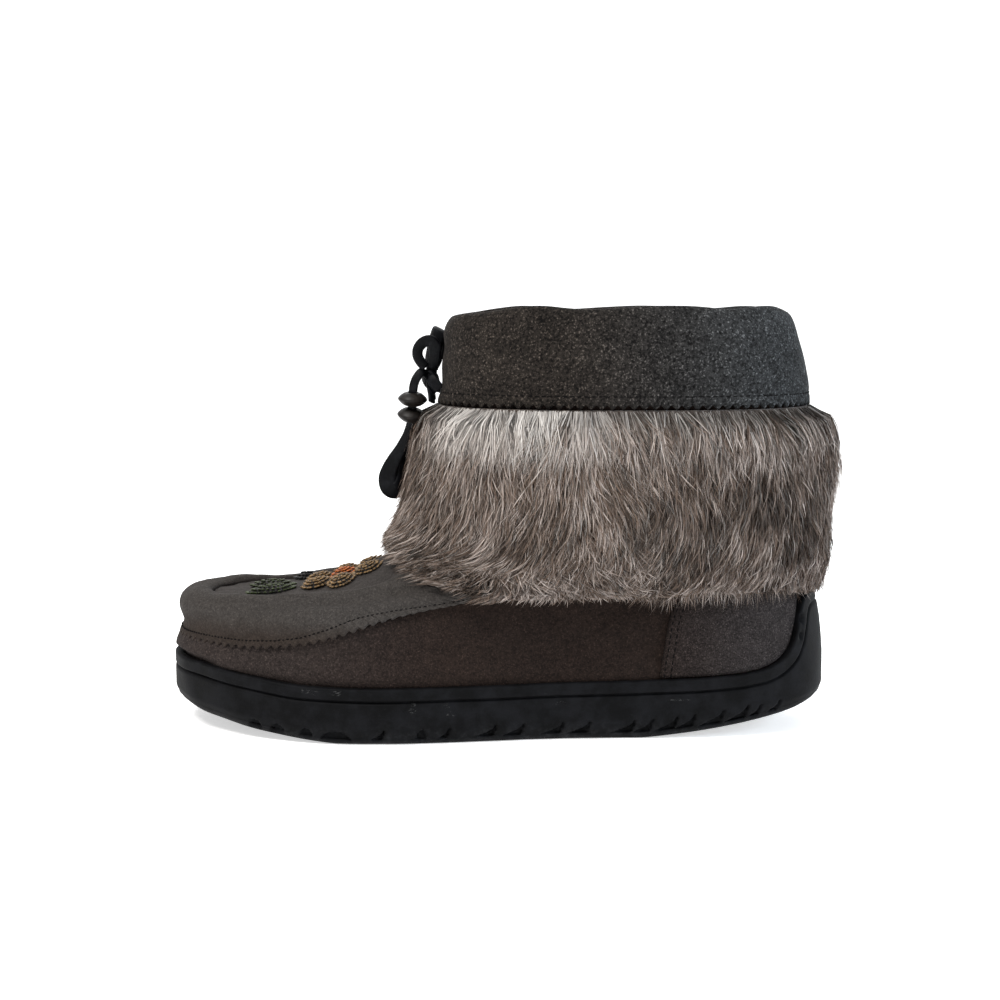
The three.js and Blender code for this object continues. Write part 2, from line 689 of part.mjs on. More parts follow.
// Beadwork pads: domes that follow the plug, a flower on the instep and leaves ahead of it
const PAD = { rise: 1.6, edge: 0.9, crown: 0.1, under: 0.15 };
function plugTop(x, y, off) {
  for (let r = 4; r < 13; r += 1) {
    for (let k = -WRAP_REACH; k < WRAP_REACH; k += 1) {
      const i = (k + COUNT) % COUNT;
      const j = (k + 1 + COUNT) % COUNT;
      const corners = [[r, i], [r, j], [r + 1, j], [r + 1, i]].map(([ring, at]) => formPoint(ring, at, off));
      for (const [a, b, c] of [[0, 1, 2], [0, 2, 3]]) {
        const z = heightIn(corners[a], corners[b], corners[c], x, y);
        if (z !== null) return z;
      }
    }
  }
  return null;
}
function heightIn(a, b, c, x, y) {
  const area = (b.x - a.x) * (c.y - a.y) - (c.x - a.x) * (b.y - a.y);
  if (Math.abs(area) < 1e-6) return null;
  const u = ((x - a.x) * (c.y - a.y) - (c.x - a.x) * (y - a.y)) / area;
  const v = ((b.x - a.x) * (y - a.y) - (x - a.x) * (b.y - a.y)) / area;
  return u < -1e-6 || v < -1e-6 || u + v > 1 + 1e-6 ? null : a.z + u * (b.z - a.z) + v * (c.z - a.z);
}
function pad({ x, y, length, width, turn, point = 0 }) {
  const sides = 8;
  const off = GAP + PLUG_THICKNESS + GAP;
  const ring = (share) => Array.from({ length: sides }, (_, i) => {
    const angle = 2 * Math.PI * i / sides;
    const taper = 1 - point * Math.cos(angle) ** 2;
    const along = 0.5 * length * share * Math.cos(angle);
    const across = 0.5 * width * share * Math.sin(angle) * taper;
    const px = x + along * Math.cos(turn) - across * Math.sin(turn);
    const py = y + along * Math.sin(turn) + across * Math.cos(turn);
    return new THREE.Vector3(px, py, plugTop(px, py, off));
  });
  const lift = (points, rise) => points.map((p) => p.clone().setZ(p.z + rise));
  const middle = new THREE.Vector3(x, y, plugTop(x, y, off));
  const points = [
    ...lift(ring(1), PAD.under), ...lift(ring(0.97), PAD.edge), ...lift(ring(0.55), PAD.rise),
    middle.clone().setZ(middle.z + PAD.under), middle.clone().setZ(middle.z + PAD.rise + PAD.crown),
  ];
  const faces = [];
  for (let i = 0; i < sides; i += 1) {
    const j = (i + 1) % sides;
    for (const low of [0, sides]) faces.push(...quad(low + i, low + j, low + sides + j, low + sides + i));
    faces.push([j, i, 3 * sides], [2 * sides + i, 2 * sides + j, 3 * sides + 1]);
  }
  return outward(solidOf(points, faces));
}
const FLOWER = { x: -65, y: 0, petals: 6, reach: 12.4, length: 13, width: 10.5, centre: 10.4 };
const LEAVES = [
  { x: -95, y: -7.5, length: 21, width: 9.5, turn: 0.35, point: 0.35 },
  { x: -96, y: 7, length: 21, width: 9.5, turn: -0.3, point: 0.35 },
  { x: -83, y: 24.5, length: 15, width: 7.5, turn: -0.6, point: 0.35 },
];

// The lace: routes chosen by hand, points in X, Y, Z
const LACE_RADIUS = 1.5;
const STRAP_RADIUS = 1.3;
const KNOT = new THREE.Vector3(-29.9, 0, 142.6);
const ROUTES = {
  lace_loop_front: [
    [-31.1, -3.9, 147.2], [-32.9, -4.6, 149.3], [-34.2, -5.2, 152], [-33.9, -5.6, 155], [-31.7, -5.7, 157.5],
    [-28.9, -5.6, 158], [-27.3, -5.2, 156], [-27.1, -4.6, 152.8], [-27.5, -3.9, 149.6], [-28.5, -2.6, 147.4],
  ],
  lace_loop_back: [
    [-28.9, 1.9, 146.7], [-28.7, 4.5, 149.6], [-27.9, 6, 154], [-26.9, 6.6, 158], [-25.9, 8.2, 161.4],
    [-25.3, 11, 162.2], [-25.5, 13.3, 160], [-26.1, 13.6, 155.6], [-27.1, 12, 151], [-28.3, 8.6, 147.2],
    [-29.5, 5.4, 144.9],
  ],
  lace_end_near: [
    [-32.4, -4, 145.4], [-34.5, -4.8, 143.2], [-35.7, -5, 140.4], [-36.2, -4.8, 137.4], [-36.4, -4.4, 134.2],
    [-36.6, -4, 131], [-36.8, -3.4, 127.6], [-37.3, -2.6, 124.2], [-38.3, -1.4, 120.8], [-39.8, 0, 117.2],
    [-41.8, 1.2, 113], [-44.4, 2.2, 108.6], [-46.5, 2.8, 104.2], [-47.5, 3, 100], [-46.5, 3.2, 96.6],
    [-44.1, 3.6, 95.6], [-42.1, 4.2, 97.6], [-41.3, 4.8, 101.6], [-40.9, 5, 106.2], [-40.3, 5, 110.6],
    [-39.7, 4.8, 114.2],
  ],
  lace_end_far: [
    [-31.2, 4.6, 141.2], [-31.8, 8, 140.6], [-31.6, 12.4, 139.8], [-30.6, 17.6, 138.8], [-28.8, 23.2, 137.8],
    [-26.8, 29, 136.8], [-25, 35.4, 135.4], [-24, 41, 132.8], [-23.8, 44.4, 129], [-23.9, 45.8, 124.6],
    [-24.1, 46.2, 120.2], [-24.2, 46.4, 116], [-24.2, 46.6, 111.4], [-24.6, 47.4, 106.8], [-25.6, 48, 102.2],
    [-25.4, 48.2, 98.4], [-23.4, 48.8, 96.6], [-21, 50, 98.2], [-20.2, 50.8, 102.2], [-20.4, 50.6, 106.6],
    [-20.6, 50.2, 110.4],
  ],
};
const vectors = (points) => points.map((p) => new THREE.Vector3(...p));
const routeCurve = (points) => new THREE.CatmullRomCurve3(vectors(points), false, 'centripetal');
function tube(curve, radius, sides, steps) {
  const section = new THREE.Shape();
  for (let i = 0; i < sides; i += 1) {
    const angle = 2 * Math.PI * i / sides;
    const corner = [radius * Math.cos(angle), radius * Math.sin(angle)];
    if (i === 0) section.moveTo(...corner);
    else section.lineTo(...corner);
  }
  return new THREE.ExtrudeGeometry(section, { steps, extrudePath: curve, bevelEnabled: false });
}
const cord = (name) => tube(routeCurve(ROUTES[name]), LACE_RADIUS, 8, Math.min(11, ROUTES[name].length - 1));

// Two short bars of the lace come out from under the collar's hem and meet below the knot
function laceStraps() {
  const bar = (side) => toManifold(tube(routeCurve([
    [-28.4, side * 6.4, 133.6], [-28.7, side * 4.4, 135.8], [-29.8, -side * 0.3, 137.6],
  ]), STRAP_RADIUS, 8, 2));
  return fromManifold(bar(-1).add(bar(1)));
}
function laceKnot() {
  const wraps = [[0, 0.5], [1.2, -0.5]].map(([spin, tip]) => {
    const wrap = new THREE.SphereGeometry(1, 6, 5);
    const matrix = new THREE.Matrix4().makeRotationFromEuler(new THREE.Euler(spin, tip, spin / 2));
    matrix.scale(new THREE.Vector3(2.6, 4.4, 3.2)).setPosition(KNOT);
    return toManifold(wrap.applyMatrix4(matrix));
  });
  return fromManifold(unite(wraps));
}
// Double-cone beads on each end, bored for the lace
const BEAD = { radius: 6, half: 2.7 };
const BEADS = [
  { name: 'lace_bead_1', route: 'lace_end_near', at: 4 },
  { name: 'lace_bead_2', route: 'lace_end_near', at: 6 },
  { name: 'lace_bead_3', route: 'lace_end_far', at: 9 },
  { name: 'lace_bead_4', route: 'lace_end_far', at: 10.5 },
];
function bead({ route, at }) {
  const bore = LACE_RADIUS + 0.7;
  const profile = [
    [bore, -BEAD.half], [3.4, -BEAD.half], [BEAD.radius, 0], [3.6, BEAD.half], [bore, BEAD.half],
    [bore, -BEAD.half],
  ].map(([r, z]) => new THREE.Vector2(r, z));
  const curve = routeCurve(ROUTES[route]);
  const share = at / (ROUTES[route].length - 1);
  const up = new THREE.Vector3(0, 1, 0);
  const turn = new THREE.Quaternion().setFromUnitVectors(up, curve.getTangent(share).negate());
  const matrix = new THREE.Matrix4().compose(curve.getPoint(share), turn, new THREE.Vector3(1, 1, 1));
  return outward(mergeVertices(bare(new THREE.LatheGeometry(profile, 8)).applyMatrix4(matrix), 1e-4));
}
function bare(geometry) {
  geometry.deleteAttribute('normal');
  geometry.deleteAttribute('uv');
  return geometry;
}

const FINISH = {
  rubber: { color: 0x17181b, roughness: 0.6, metalness: 0 },
  suede: { color: 0x4a4440, roughness: 0.95, metalness: 0 },
  felt: { color: 0x8d857a, roughness: 1, metalness: 0 },
  fur: { color: 0x8a7c70, roughness: 1, metalness: 0 },
  cord: { color: 0x141414, roughness: 0.8, metalness: 0 },
  wood: { color: 0x2a211c, roughness: 0.5, metalness: 0 },
  tan: { color: 0x9a7a4c, roughness: 0.4, metalness: 0 },
  orange: { color: 0xb4591d, roughness: 0.4, metalness: 0 },
  olive: { color: 0x3c4a28, roughness: 0.4, metalness: 0 },
  black: { color: 0x121212, roughness: 0.4, metalness: 0 },
};
const boot = new THREE.Group();
function add(name, geometry, finish) {
  const mesh = new THREE.Mesh(geometry, new THREE.MeshStandardMaterial(FINISH[finish]));
  mesh.name = name;
  boot.add(mesh);
}

add('outsole', outsole(), 'rubber');
add('footbed', footbed(), 'felt');
add('upper', upper(), 'suede');
add('vamp_wrap', vampWrap(), 'suede');
add('toe_plug', toePlug(), 'suede');
add('heel_counter', heelCounter(), 'suede');
add('collar_cuff', collarCuff(), 'suede');
add('fur_cuff', furCuff(), 'fur');
for (let i = 0; i < FLOWER.petals; i += 1) {
  const turn = 2 * Math.PI * (i + 0.5) / FLOWER.petals;
  const x = FLOWER.x + FLOWER.reach * Math.cos(turn);
  const y = FLOWER.y + FLOWER.reach * Math.sin(turn);
  add(`petal_${i + 1}`, pad({ x, y, length: FLOWER.length, width: FLOWER.width, turn }), 'tan');
}
const centre = { x: FLOWER.x, y: FLOWER.y, length: FLOWER.centre, width: FLOWER.centre, turn: 0 };
add('flower_centre', pad(centre), 'orange');
LEAVES.forEach((leaf, i) => add(`leaf_${i + 1}`, pad(leaf), i < 2 ? 'olive' : 'black'));
add('lace_straps', laceStraps(), 'cord');
add('lace_knot', laceKnot(), 'cord');
Object.keys(ROUTES).forEach((name) => add(name, cord(name), 'cord'));
BEADS.forEach((row) => add(row.name, bead(row), 'wood'));

export default boot;
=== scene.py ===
"""A short mukluk boot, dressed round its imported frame.

Sizes in the tables are in millimetres, as the boot's own construction gives them,
and the mesh makers turn them to metres. The lace's routes are in metres.
Toe at -X, heel at +X, outer side at -Y, floor at z = 0.
"""

import math

import bmesh
import bpy
import numpy as np
from mathutils import Matrix, Vector
from mathutils.kdtree import KDTree


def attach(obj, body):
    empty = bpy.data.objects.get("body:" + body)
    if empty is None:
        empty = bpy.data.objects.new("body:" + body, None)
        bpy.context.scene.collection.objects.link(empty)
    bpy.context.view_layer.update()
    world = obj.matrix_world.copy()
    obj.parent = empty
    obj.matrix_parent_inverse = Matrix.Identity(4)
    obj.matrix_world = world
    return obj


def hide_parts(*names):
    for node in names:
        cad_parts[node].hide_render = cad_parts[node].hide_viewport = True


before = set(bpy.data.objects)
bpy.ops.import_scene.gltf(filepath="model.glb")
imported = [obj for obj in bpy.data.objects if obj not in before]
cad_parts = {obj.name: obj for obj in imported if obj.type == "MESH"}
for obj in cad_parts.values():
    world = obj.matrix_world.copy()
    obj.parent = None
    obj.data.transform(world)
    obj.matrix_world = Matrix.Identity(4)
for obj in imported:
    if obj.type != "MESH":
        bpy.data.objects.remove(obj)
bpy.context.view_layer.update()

bl_info = {
    "name": "Mukluk Boot",
    "version": (1, 0, 0),
    "blender": (4, 5, 0),
    "location": "3D View > Sidebar > Boot",
    "description": "Builds a short mukluk boot round its packed frame",
    "category": "Object",
}

MM = 0.001
BODY = "root"
SEED = 4711

# Driving dimensions, as in the frame
SOLE_LENGTH = 272.0
HEEL_X = 134.1
TOE_X = HEEL_X - SOLE_LENGTH
TOE_TIP_Y = 12.0
GAP = 0.3
WALL = 2.5
CUP_WALL = 3.6
CUP_FLOOR = 10.5
TOE_SPRING = {"start": -66.0, "reach": 72.0, "lift": 8.6, "power": 1.2}
HEEL_SPRING = {"start": 56.0, "reach": 78.0, "lift": 11.5, "power": 1.25}

# Half widths of the outsole: share of the length from the heel, outer, inner
OUTLINE = (
    (0.03, 22, 20), (0.08, 32, 31), (0.16, 38, 36), (0.30, 39.5, 34), (0.42, 41.5, 31.5),
    (0.55, 47, 37), (0.65, 50.5, 44), (0.74, 49.5, 49), (0.83, 43, 49.5), (0.90, 33, 45),
    (0.96, 18, 34), (0.99, 4, 20),
)
# Top edge of the rim, which climbs round the heel as a bumper: x, z
RIM_TOP = (
    (-139, 28.6), (-122, 27.8), (-104, 25.8), (-80, 23.2), (-55, 22.5), (0, 22.7), (55, 23.5),
    (79, 24.4), (98, 25.8), (108, 27.6), (115.5, 31.5), (120.2, 38.5), (122.6, 47), (124.8, 53.2),
    (128.5, 56.2), (134.1, 57),
)
# Rings of the upper: z at the front, side and back, inset at the front and back,
# then the front and back ends, how round it is and its half width
RINGS = (
    (0, 0, 0, 3.9, 3.9, None, None, 0, 44),
    (27, 21.5, 25, 3.9, 3.9, None, None, 0, 44),
    (34.5, 30, 31, 3.4, 4.1, None, None, 0, 44),
    (42.5, 37.5, 37.5, 3.6, 4.2, -132.6, None, 0, 44),
    (48.6, 44.5, 44, 4.6, 4.2, -131.2, None, 0, 44),
    (51.8, 49.4, 50, 7, 4.4, -125.5, None, 0.05, 44),
    (52.2, 55, 55, 9.5, 5, -113, None, 0.15, 44),
    (52.7, 60, 59.5, 11, 5.8, -98, None, 0.3, 44),
    (54.4, 64.5, 63.5, 12, 6.8, -83, 125.6, 0.45, 44),
    (58.2, 69, 68, 12, 7.4, -67.5, 125.2, 0.6, 44.5),
    (62.9, 74.5, 73, 12, 8, -53, 125, 0.75, 45),
    (70.5, 81, 79, 12, 8, -41.5, 125, 0.9, 45.5),
    (81, 90, 88, 12, 8, -34.5, 125.2, 1, 46),
    (109, 112, 111, 12, 8, -28.2, 125.7, 1, 47.3),
    (133, 134, 133.5, 12, 8, -24.2, 124.7, 1, 47.5),
    (149, 150, 149.5, 12, 8, -22.4, 123, 1, 46),
    (163, 165, 164, 12, 8, -20.4, 119.4, 1, 43.5),
)
OVAL_POWER = 2 / 2.25
STATIONS = 480
SHEET_OVER = GAP + 0.05


def smooth(low, high, value):
    t = np.clip((np.asarray(value, float) - low) / (high - low), 0, 1)
    return t * t * (3 - 2 * t)


def mix(a, b, t):
    return a + (b - a) * t


def table_at(table, x):
    rows = np.array(table, float)
    return np.interp(x, rows[:, 0], rows[:, 1])


# A line through points, read by the share of its own length
class Ruler:
    def __init__(self, points):
        self.points = np.array(points, float)
        steps = np.linalg.norm(np.diff(self.points, axis=0), axis=1)
        self.reach = np.concatenate([[0], np.cumsum(steps)])
        self.length = self.reach[-1]

    def __call__(self, share):
        want = np.clip(share, 0, 1) * self.length
        return np.stack([np.interp(want, self.reach, c) for c in self.points.T], -1)


# A centripetal spline through points, at many parameters
def spline(points, t, closed=False):
    knots = np.array(points, float)
    count = len(knots)
    t = np.asarray(t, float)
    if closed:
        at = (t % 1) * count
        base = np.floor(at).astype(int)
        ring = [knots[(base + k) % count] for k in (-1, 0, 1, 2)]
    else:
        at = np.clip(t, 0, 1) * (count - 1)
        base = np.minimum(np.floor(at).astype(int), count - 2)
        padded = np.vstack([2 * knots[0] - knots[1], knots, 2 * knots[-1] - knots[-2]])
        ring = [padded[base + k] for k in (0, 1, 2, 3)]
    w = (at - base)[:, None]
    p0, p1, p2, p3 = ring
    gaps = [np.sqrt(np.linalg.norm(b - a, axis=1))[:, None] for a, b in ((p0, p1), (p1, p2), (p2, p3))]
    d0, d1, d2 = [np.maximum(g, 1e-6) for g in gaps]
    m1 = ((p1 - p0) / d0 - (p2 - p0) / (d0 + d1) + (p2 - p1) / d1) * d1
    m2 = ((p2 - p1) / d1 - (p3 - p1) / (d1 + d2) + (p3 - p2) / d2) * d1
    a = 2 * p1 - 2 * p2 + m1 + m2
    b = -3 * p1 + 3 * p2 - 2 * m1 - m2
    return ((a * w + b) * w + m1) * w + p1


def outline_sides():
    inner = [(HEEL_X - h * SOLE_LENGTH, i) for h, _, i in OUTLINE]
    outer = [(HEEL_X - h * SOLE_LENGTH, -o) for h, o, _ in OUTLINE][::-1]
    knots = [(TOE_X, TOE_TIP_Y), *outer, (HEEL_X, 0.0), *inner]
    heel = (len(outer) + 1) / len(knots)
    steps = np.linspace(0, 1, 301)
    return (
        Ruler(spline(knots, heel * steps, closed=True)),
        Ruler(spline(knots, 1 - (1 - heel) * steps, closed=True)),
    )


OUTER_SIDE, INNER_SIDE = outline_sides()


# Around the boot: q runs 0 at the toe, 1 at the heel and back to the toe at 2
def outline_at(q):
    turn = np.asarray(q, float) % 2
    outer = turn <= 1
    return np.where(outer[..., None], OUTER_SIDE(turn), INNER_SIDE(2 - turn))


def outline_normal(q):
    along = outline_at(np.asarray(q) + 0.01) - outline_at(np.asarray(q) - 0.01)
    along /= np.linalg.norm(along, axis=-1, keepdims=True)
    return np.stack([along[..., 1], -along[..., 0]], -1)


# The back of the boot leans forward as it rises
def lean(x, z):
    lift = np.clip(z - 25, 0, 40)
    return 0.0041 * lift ** 2 * smooth(80, 125, x)


def plan_at(q, z, inset):
    flat = outline_at(q) - outline_normal(q) * np.asarray(inset, float)[..., None]
    z = np.broadcast_to(np.asarray(z, float), flat.shape[:-1])
    return np.stack([flat[..., 0] - lean(flat[..., 0], z), flat[..., 1], z], -1)


def bottom_at(x):
    toe = np.maximum(0, (TOE_SPRING["start"] - x) / TOE_SPRING["reach"])
    heel = np.maximum(0, (x - HEEL_SPRING["start"]) / HEEL_SPRING["reach"])
    return (TOE_SPRING["lift"] * toe ** TOE_SPRING["power"]
            + HEEL_SPRING["lift"] * heel ** HEEL_SPRING["power"])


def floor_at(x):
    return CUP_FLOOR + 0.8 * bottom_at(x)


# The upper's form: rings of control points, and smooth columns through them
class Form:
    def __init__(self):
        self.q = np.arange(STATIONS) * 2 / STATIONS
        self.rings = np.array([self.ring(k) for k in range(len(RINGS))])
        steps = np.linalg.norm(np.diff(self.rings, axis=0), axis=2).mean(axis=1)
        self.knots = np.concatenate([[0], np.cumsum(steps)])
        self.slopes = self.slopes_of(self.rings)

    def ring(self, k):
        z_front, z_side, z_back, in_front, in_back, front, back, rounding, wide = RINGS[k]
        q = self.q
        c = np.cos(np.pi * q)
        z = z_side + np.abs(c) * (np.where(c > 0, z_front, z_back) - z_side)
        plan = plan_at(q, z, mix(in_back, in_front, (1 + c) / 2))
        toe, heel = plan[0, 0], plan[STATIONS // 2, 0]
        front = toe if front is None else front
        back = heel if back is None else back
        plan[:, 0] = mix(back, front, (plan[:, 0] - heel) / (toe - heel))
        angle = np.linspace(0, np.pi, 181)
        ca, sa = np.cos(angle), np.sin(angle)
        x = (front + back) / 2 - (back - front) / 2 * np.sign(ca) * np.abs(ca) ** OVAL_POWER
        y = wide * np.abs(sa) ** OVAL_POWER
        oval = Ruler(np.stack([x, y], -1))
        share = np.where(q <= 1, q, 2 - q)
        flat = oval(share) * np.where(q <= 1, [[1], [-1]], [[1], [1]]).T
        plan[:, :2] = mix(plan[:, :2], flat, rounding)
        if k == 0:
            plan[:, 2] = floor_at(plan[:, 0]) + GAP
        return plan

    # Slopes that keep each column free of overshoot between its rings
    def slopes_of(self, rings):
        h = np.diff(self.knots)[:, None, None]
        rise = np.diff(rings, axis=0) / h
        a, b = rise[:-1], rise[1:]
        ha, hb = h[:-1], h[1:]
        weight = 3 * (ha + hb)
        with np.errstate(divide="ignore", invalid="ignore"):
            middle = weight / ((2 * hb + ha) / a + (hb + 2 * ha) / b)
        middle = np.where(a * b > 0, middle, 0)
        return np.concatenate([rise[:1], middle, rise[-1:]])

    def point(self, q, t):
        q, t = np.broadcast_arrays(np.asarray(q, float), np.asarray(t, float))
        at = (q % 2) / 2 * STATIONS
        i = np.floor(at).astype(int) % STATIONS
        j = (i + 1) % STATIONS
        w = (at - np.floor(at))[..., None]
        r = np.clip(np.searchsorted(self.knots, t, side="right") - 1, 0, len(self.knots) - 2)
        h = (self.knots[r + 1] - self.knots[r])[..., None]
        s = (t - self.knots[r])[..., None] / h

        def read(grid, row):
            return mix(grid[row, i], grid[row, j], w)

        low, high = read(self.rings, r), read(self.rings, r + 1)
        up_low, up_high = read(self.slopes, r) * h, read(self.slopes, r + 1) * h
        past = s > 1
        s2, s3 = s * s, s * s * s
        inside = ((2 * s3 - 3 * s2 + 1) * low + (s3 - 2 * s2 + s) * up_low
                  + (3 * s2 - 2 * s3) * high + (s3 - s2) * up_high)
        return np.where(past, high + (s - 1) * up_high, inside)

    def normal(self, q, t):
        dq, dt = 0.004, 0.4
        around = self.point(q + dq, t) - self.point(q - dq, t)
        up = self.point(q, np.asarray(t) + dt) - self.point(q, np.maximum(0, np.asarray(t) - dt))
        n = np.cross(around, up)
        return n / np.linalg.norm(n, axis=-1, keepdims=True)

    def off(self, q, t, off):
        q, t, off = np.broadcast_arrays(*(np.asarray(v, float) for v in (q, t, off)))
        return self.point(q, t) + self.normal(q, t) * off[..., None]

    # The height parameter at which the column at q reaches z
    def t_at(self, q, z):
        q, z = np.broadcast_arrays(np.asarray(q, float), np.asarray(z, float))
        low = np.zeros(q.shape)
        high = np.full(q.shape, self.knots[-1] + 20)
        for _ in range(26):
            middle = (low + high) / 2
            below = self.point(q, middle)[..., 2] < z
            low = np.where(below, middle, low)
            high = np.where(below, high, middle)
        return (low + high) / 2


FORM = Form()
TOP_T = FORM.knots[-1]


# Meshes
def grid_faces(rows, cols, wrap_rows=False, wrap_cols=False):
    r = np.arange(rows if wrap_rows else rows - 1)
    c = np.arange(cols if wrap_cols else cols - 1)
    r, c = np.meshgrid(r, c, indexing="ij")
    down, right = (r + 1) % rows, (c + 1) % cols
    quads = np.stack([r * cols + c, r * cols + right, down * cols + right, down * cols + c], -1)
    return quads.reshape(-1, 4)


def attribute(piece, name, values):
    layer = piece.data.attributes.new(name, "FLOAT", "POINT")
    layer.data.foreach_set("value", np.asarray(values, np.float32))


def settle(piece, slot, *nodes):
    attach(piece, BODY)
    if nodes:
        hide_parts(*nodes)
    return piece


# Turns a closed mesh's faces outwards, told by its volume
def faces_out(points, faces):
    p = np.asarray(points, float)
    f = np.asarray(faces)
    fan = [(f[:, 0], f[:, k], f[:, k + 1]) for k in range(1, f.shape[1] - 1)]
    volume = sum(np.einsum("ij,ij->", p[a], np.cross(p[b], p[c])) for a, b, c in fan)
    return f if volume > 0 else f[:, ::-1]


# Closed rows of one profile, wrapped across the rows; the ends close too unless the columns wrap
def loft(profile_rows, wrap_cols):
    grid = np.asarray(profile_rows, float)
    rows, cols = grid.shape[:2]
    points = grid.reshape(-1, 3)
    faces = [grid_faces(rows, cols, wrap_rows=True, wrap_cols=wrap_cols)]
    if not wrap_cols:
        for end in (0, cols - 1):
            rim = np.arange(rows) * cols + end
            centre = len(points)
            points = np.vstack([points, grid[:, end].mean(axis=0)])
            ahead = np.roll(rim, -1)
            fan = np.stack([rim, ahead, np.full(rows, centre), np.full(rows, centre)], -1)
            faces.append(fan if end == 0 else fan[:, ::-1])
    return points, np.vstack(faces)


# Triangles and quads together: a quad whose last two corners are one point is a triangle
def piece_of(name, points, faces, material, weld=False, closed=True):
    faces = faces_out(points, np.asarray(faces)) if closed else np.asarray(faces)
    double = faces[:, 2] == faces[:, 3]
    flipped = faces[:, 0] == faces[:, 1]
    quads = faces[~(double | flipped)]
    tris = np.vstack([faces[double][:, :3], faces[flipped][:, 1:]])
    mesh = bpy.data.meshes.new(name)
    loops = np.concatenate([quads.ravel(), tris.ravel()]).astype(np.int32)
    starts = np.concatenate([np.arange(len(quads)) * 4, len(quads) * 4 + np.arange(len(tris)) * 3])
    mesh.vertices.add(len(points))
    mesh.vertices.foreach_set("co", (np.asarray(points, np.float32) * MM).ravel())
    mesh.loops.add(len(loops))
    mesh.loops.foreach_set("vertex_index", loops)
    mesh.polygons.add(len(starts))
    mesh.polygons.foreach_set("loop_start", starts.astype(np.int32))
    mesh.polygons.foreach_set("use_smooth", np.full(len(starts), True))
    mesh.update(calc_edges=True)
    mesh.materials.append(material)
    piece = bpy.data.objects.new(name, mesh)
    bpy.context.scene.collection.objects.link(piece)
    if weld:
        body = bmesh.new()
        body.from_mesh(mesh)
        bmesh.ops.remove_doubles(body, verts=body.verts, dist=0.02 * MM)
        bmesh.ops.recalc_face_normals(body, faces=body.faces)
        body.to_mesh(mesh)
        body.free()
    return piece


# Smooth noise in the boot's own space: a few waves with fixed, seeded directions
class Ripple:
    def __init__(self, seed, length, waves=9):
        rng = np.random.default_rng(seed)
        aim = rng.normal(size=(waves, 3))
        aim /= np.linalg.norm(aim, axis=1, keepdims=True)
        self.aim = aim * 2 * math.pi / (length * rng.uniform(0.7, 1.6, (waves, 1)))
        self.phase = rng.uniform(0, 2 * math.pi, waves)
        self.scale = math.sqrt(2 / waves)

    def __call__(self, points):
        return np.sin(np.asarray(points) @ self.aim.T + self.phase).sum(axis=-1) * self.scale


# Shader maths
class Sock:
    """A shader socket; each operation on it adds a Math node."""

    def __init__(self, shader, socket):
        self.shader = shader
        self.socket = socket

    def maths(self, operation, a, b=0.0, c=0.0):
        return self.shader.node("ShaderNodeMath", {"operation": operation}, {0: a, 1: b, 2: c})

    def __add__(self, other):
        return self.maths("ADD", self, other)

    def __sub__(self, other):
        return self.maths("SUBTRACT", self, other)

    def __mul__(self, other):
        return self.maths("MULTIPLY", self, other)

    def __truediv__(self, other):
        return self.maths("DIVIDE", self, other)

    def __rsub__(self, other):
        return self.maths("SUBTRACT", other, self)

    __radd__ = __add__
    __rmul__ = __mul__

    def step(self, low, high):
        settings = {"interpolation_type": "SMOOTHSTEP"}
        return self.shader.node("ShaderNodeMapRange", settings, {0: self, 1: low, 2: high, 3: 0.0, 4: 1.0})


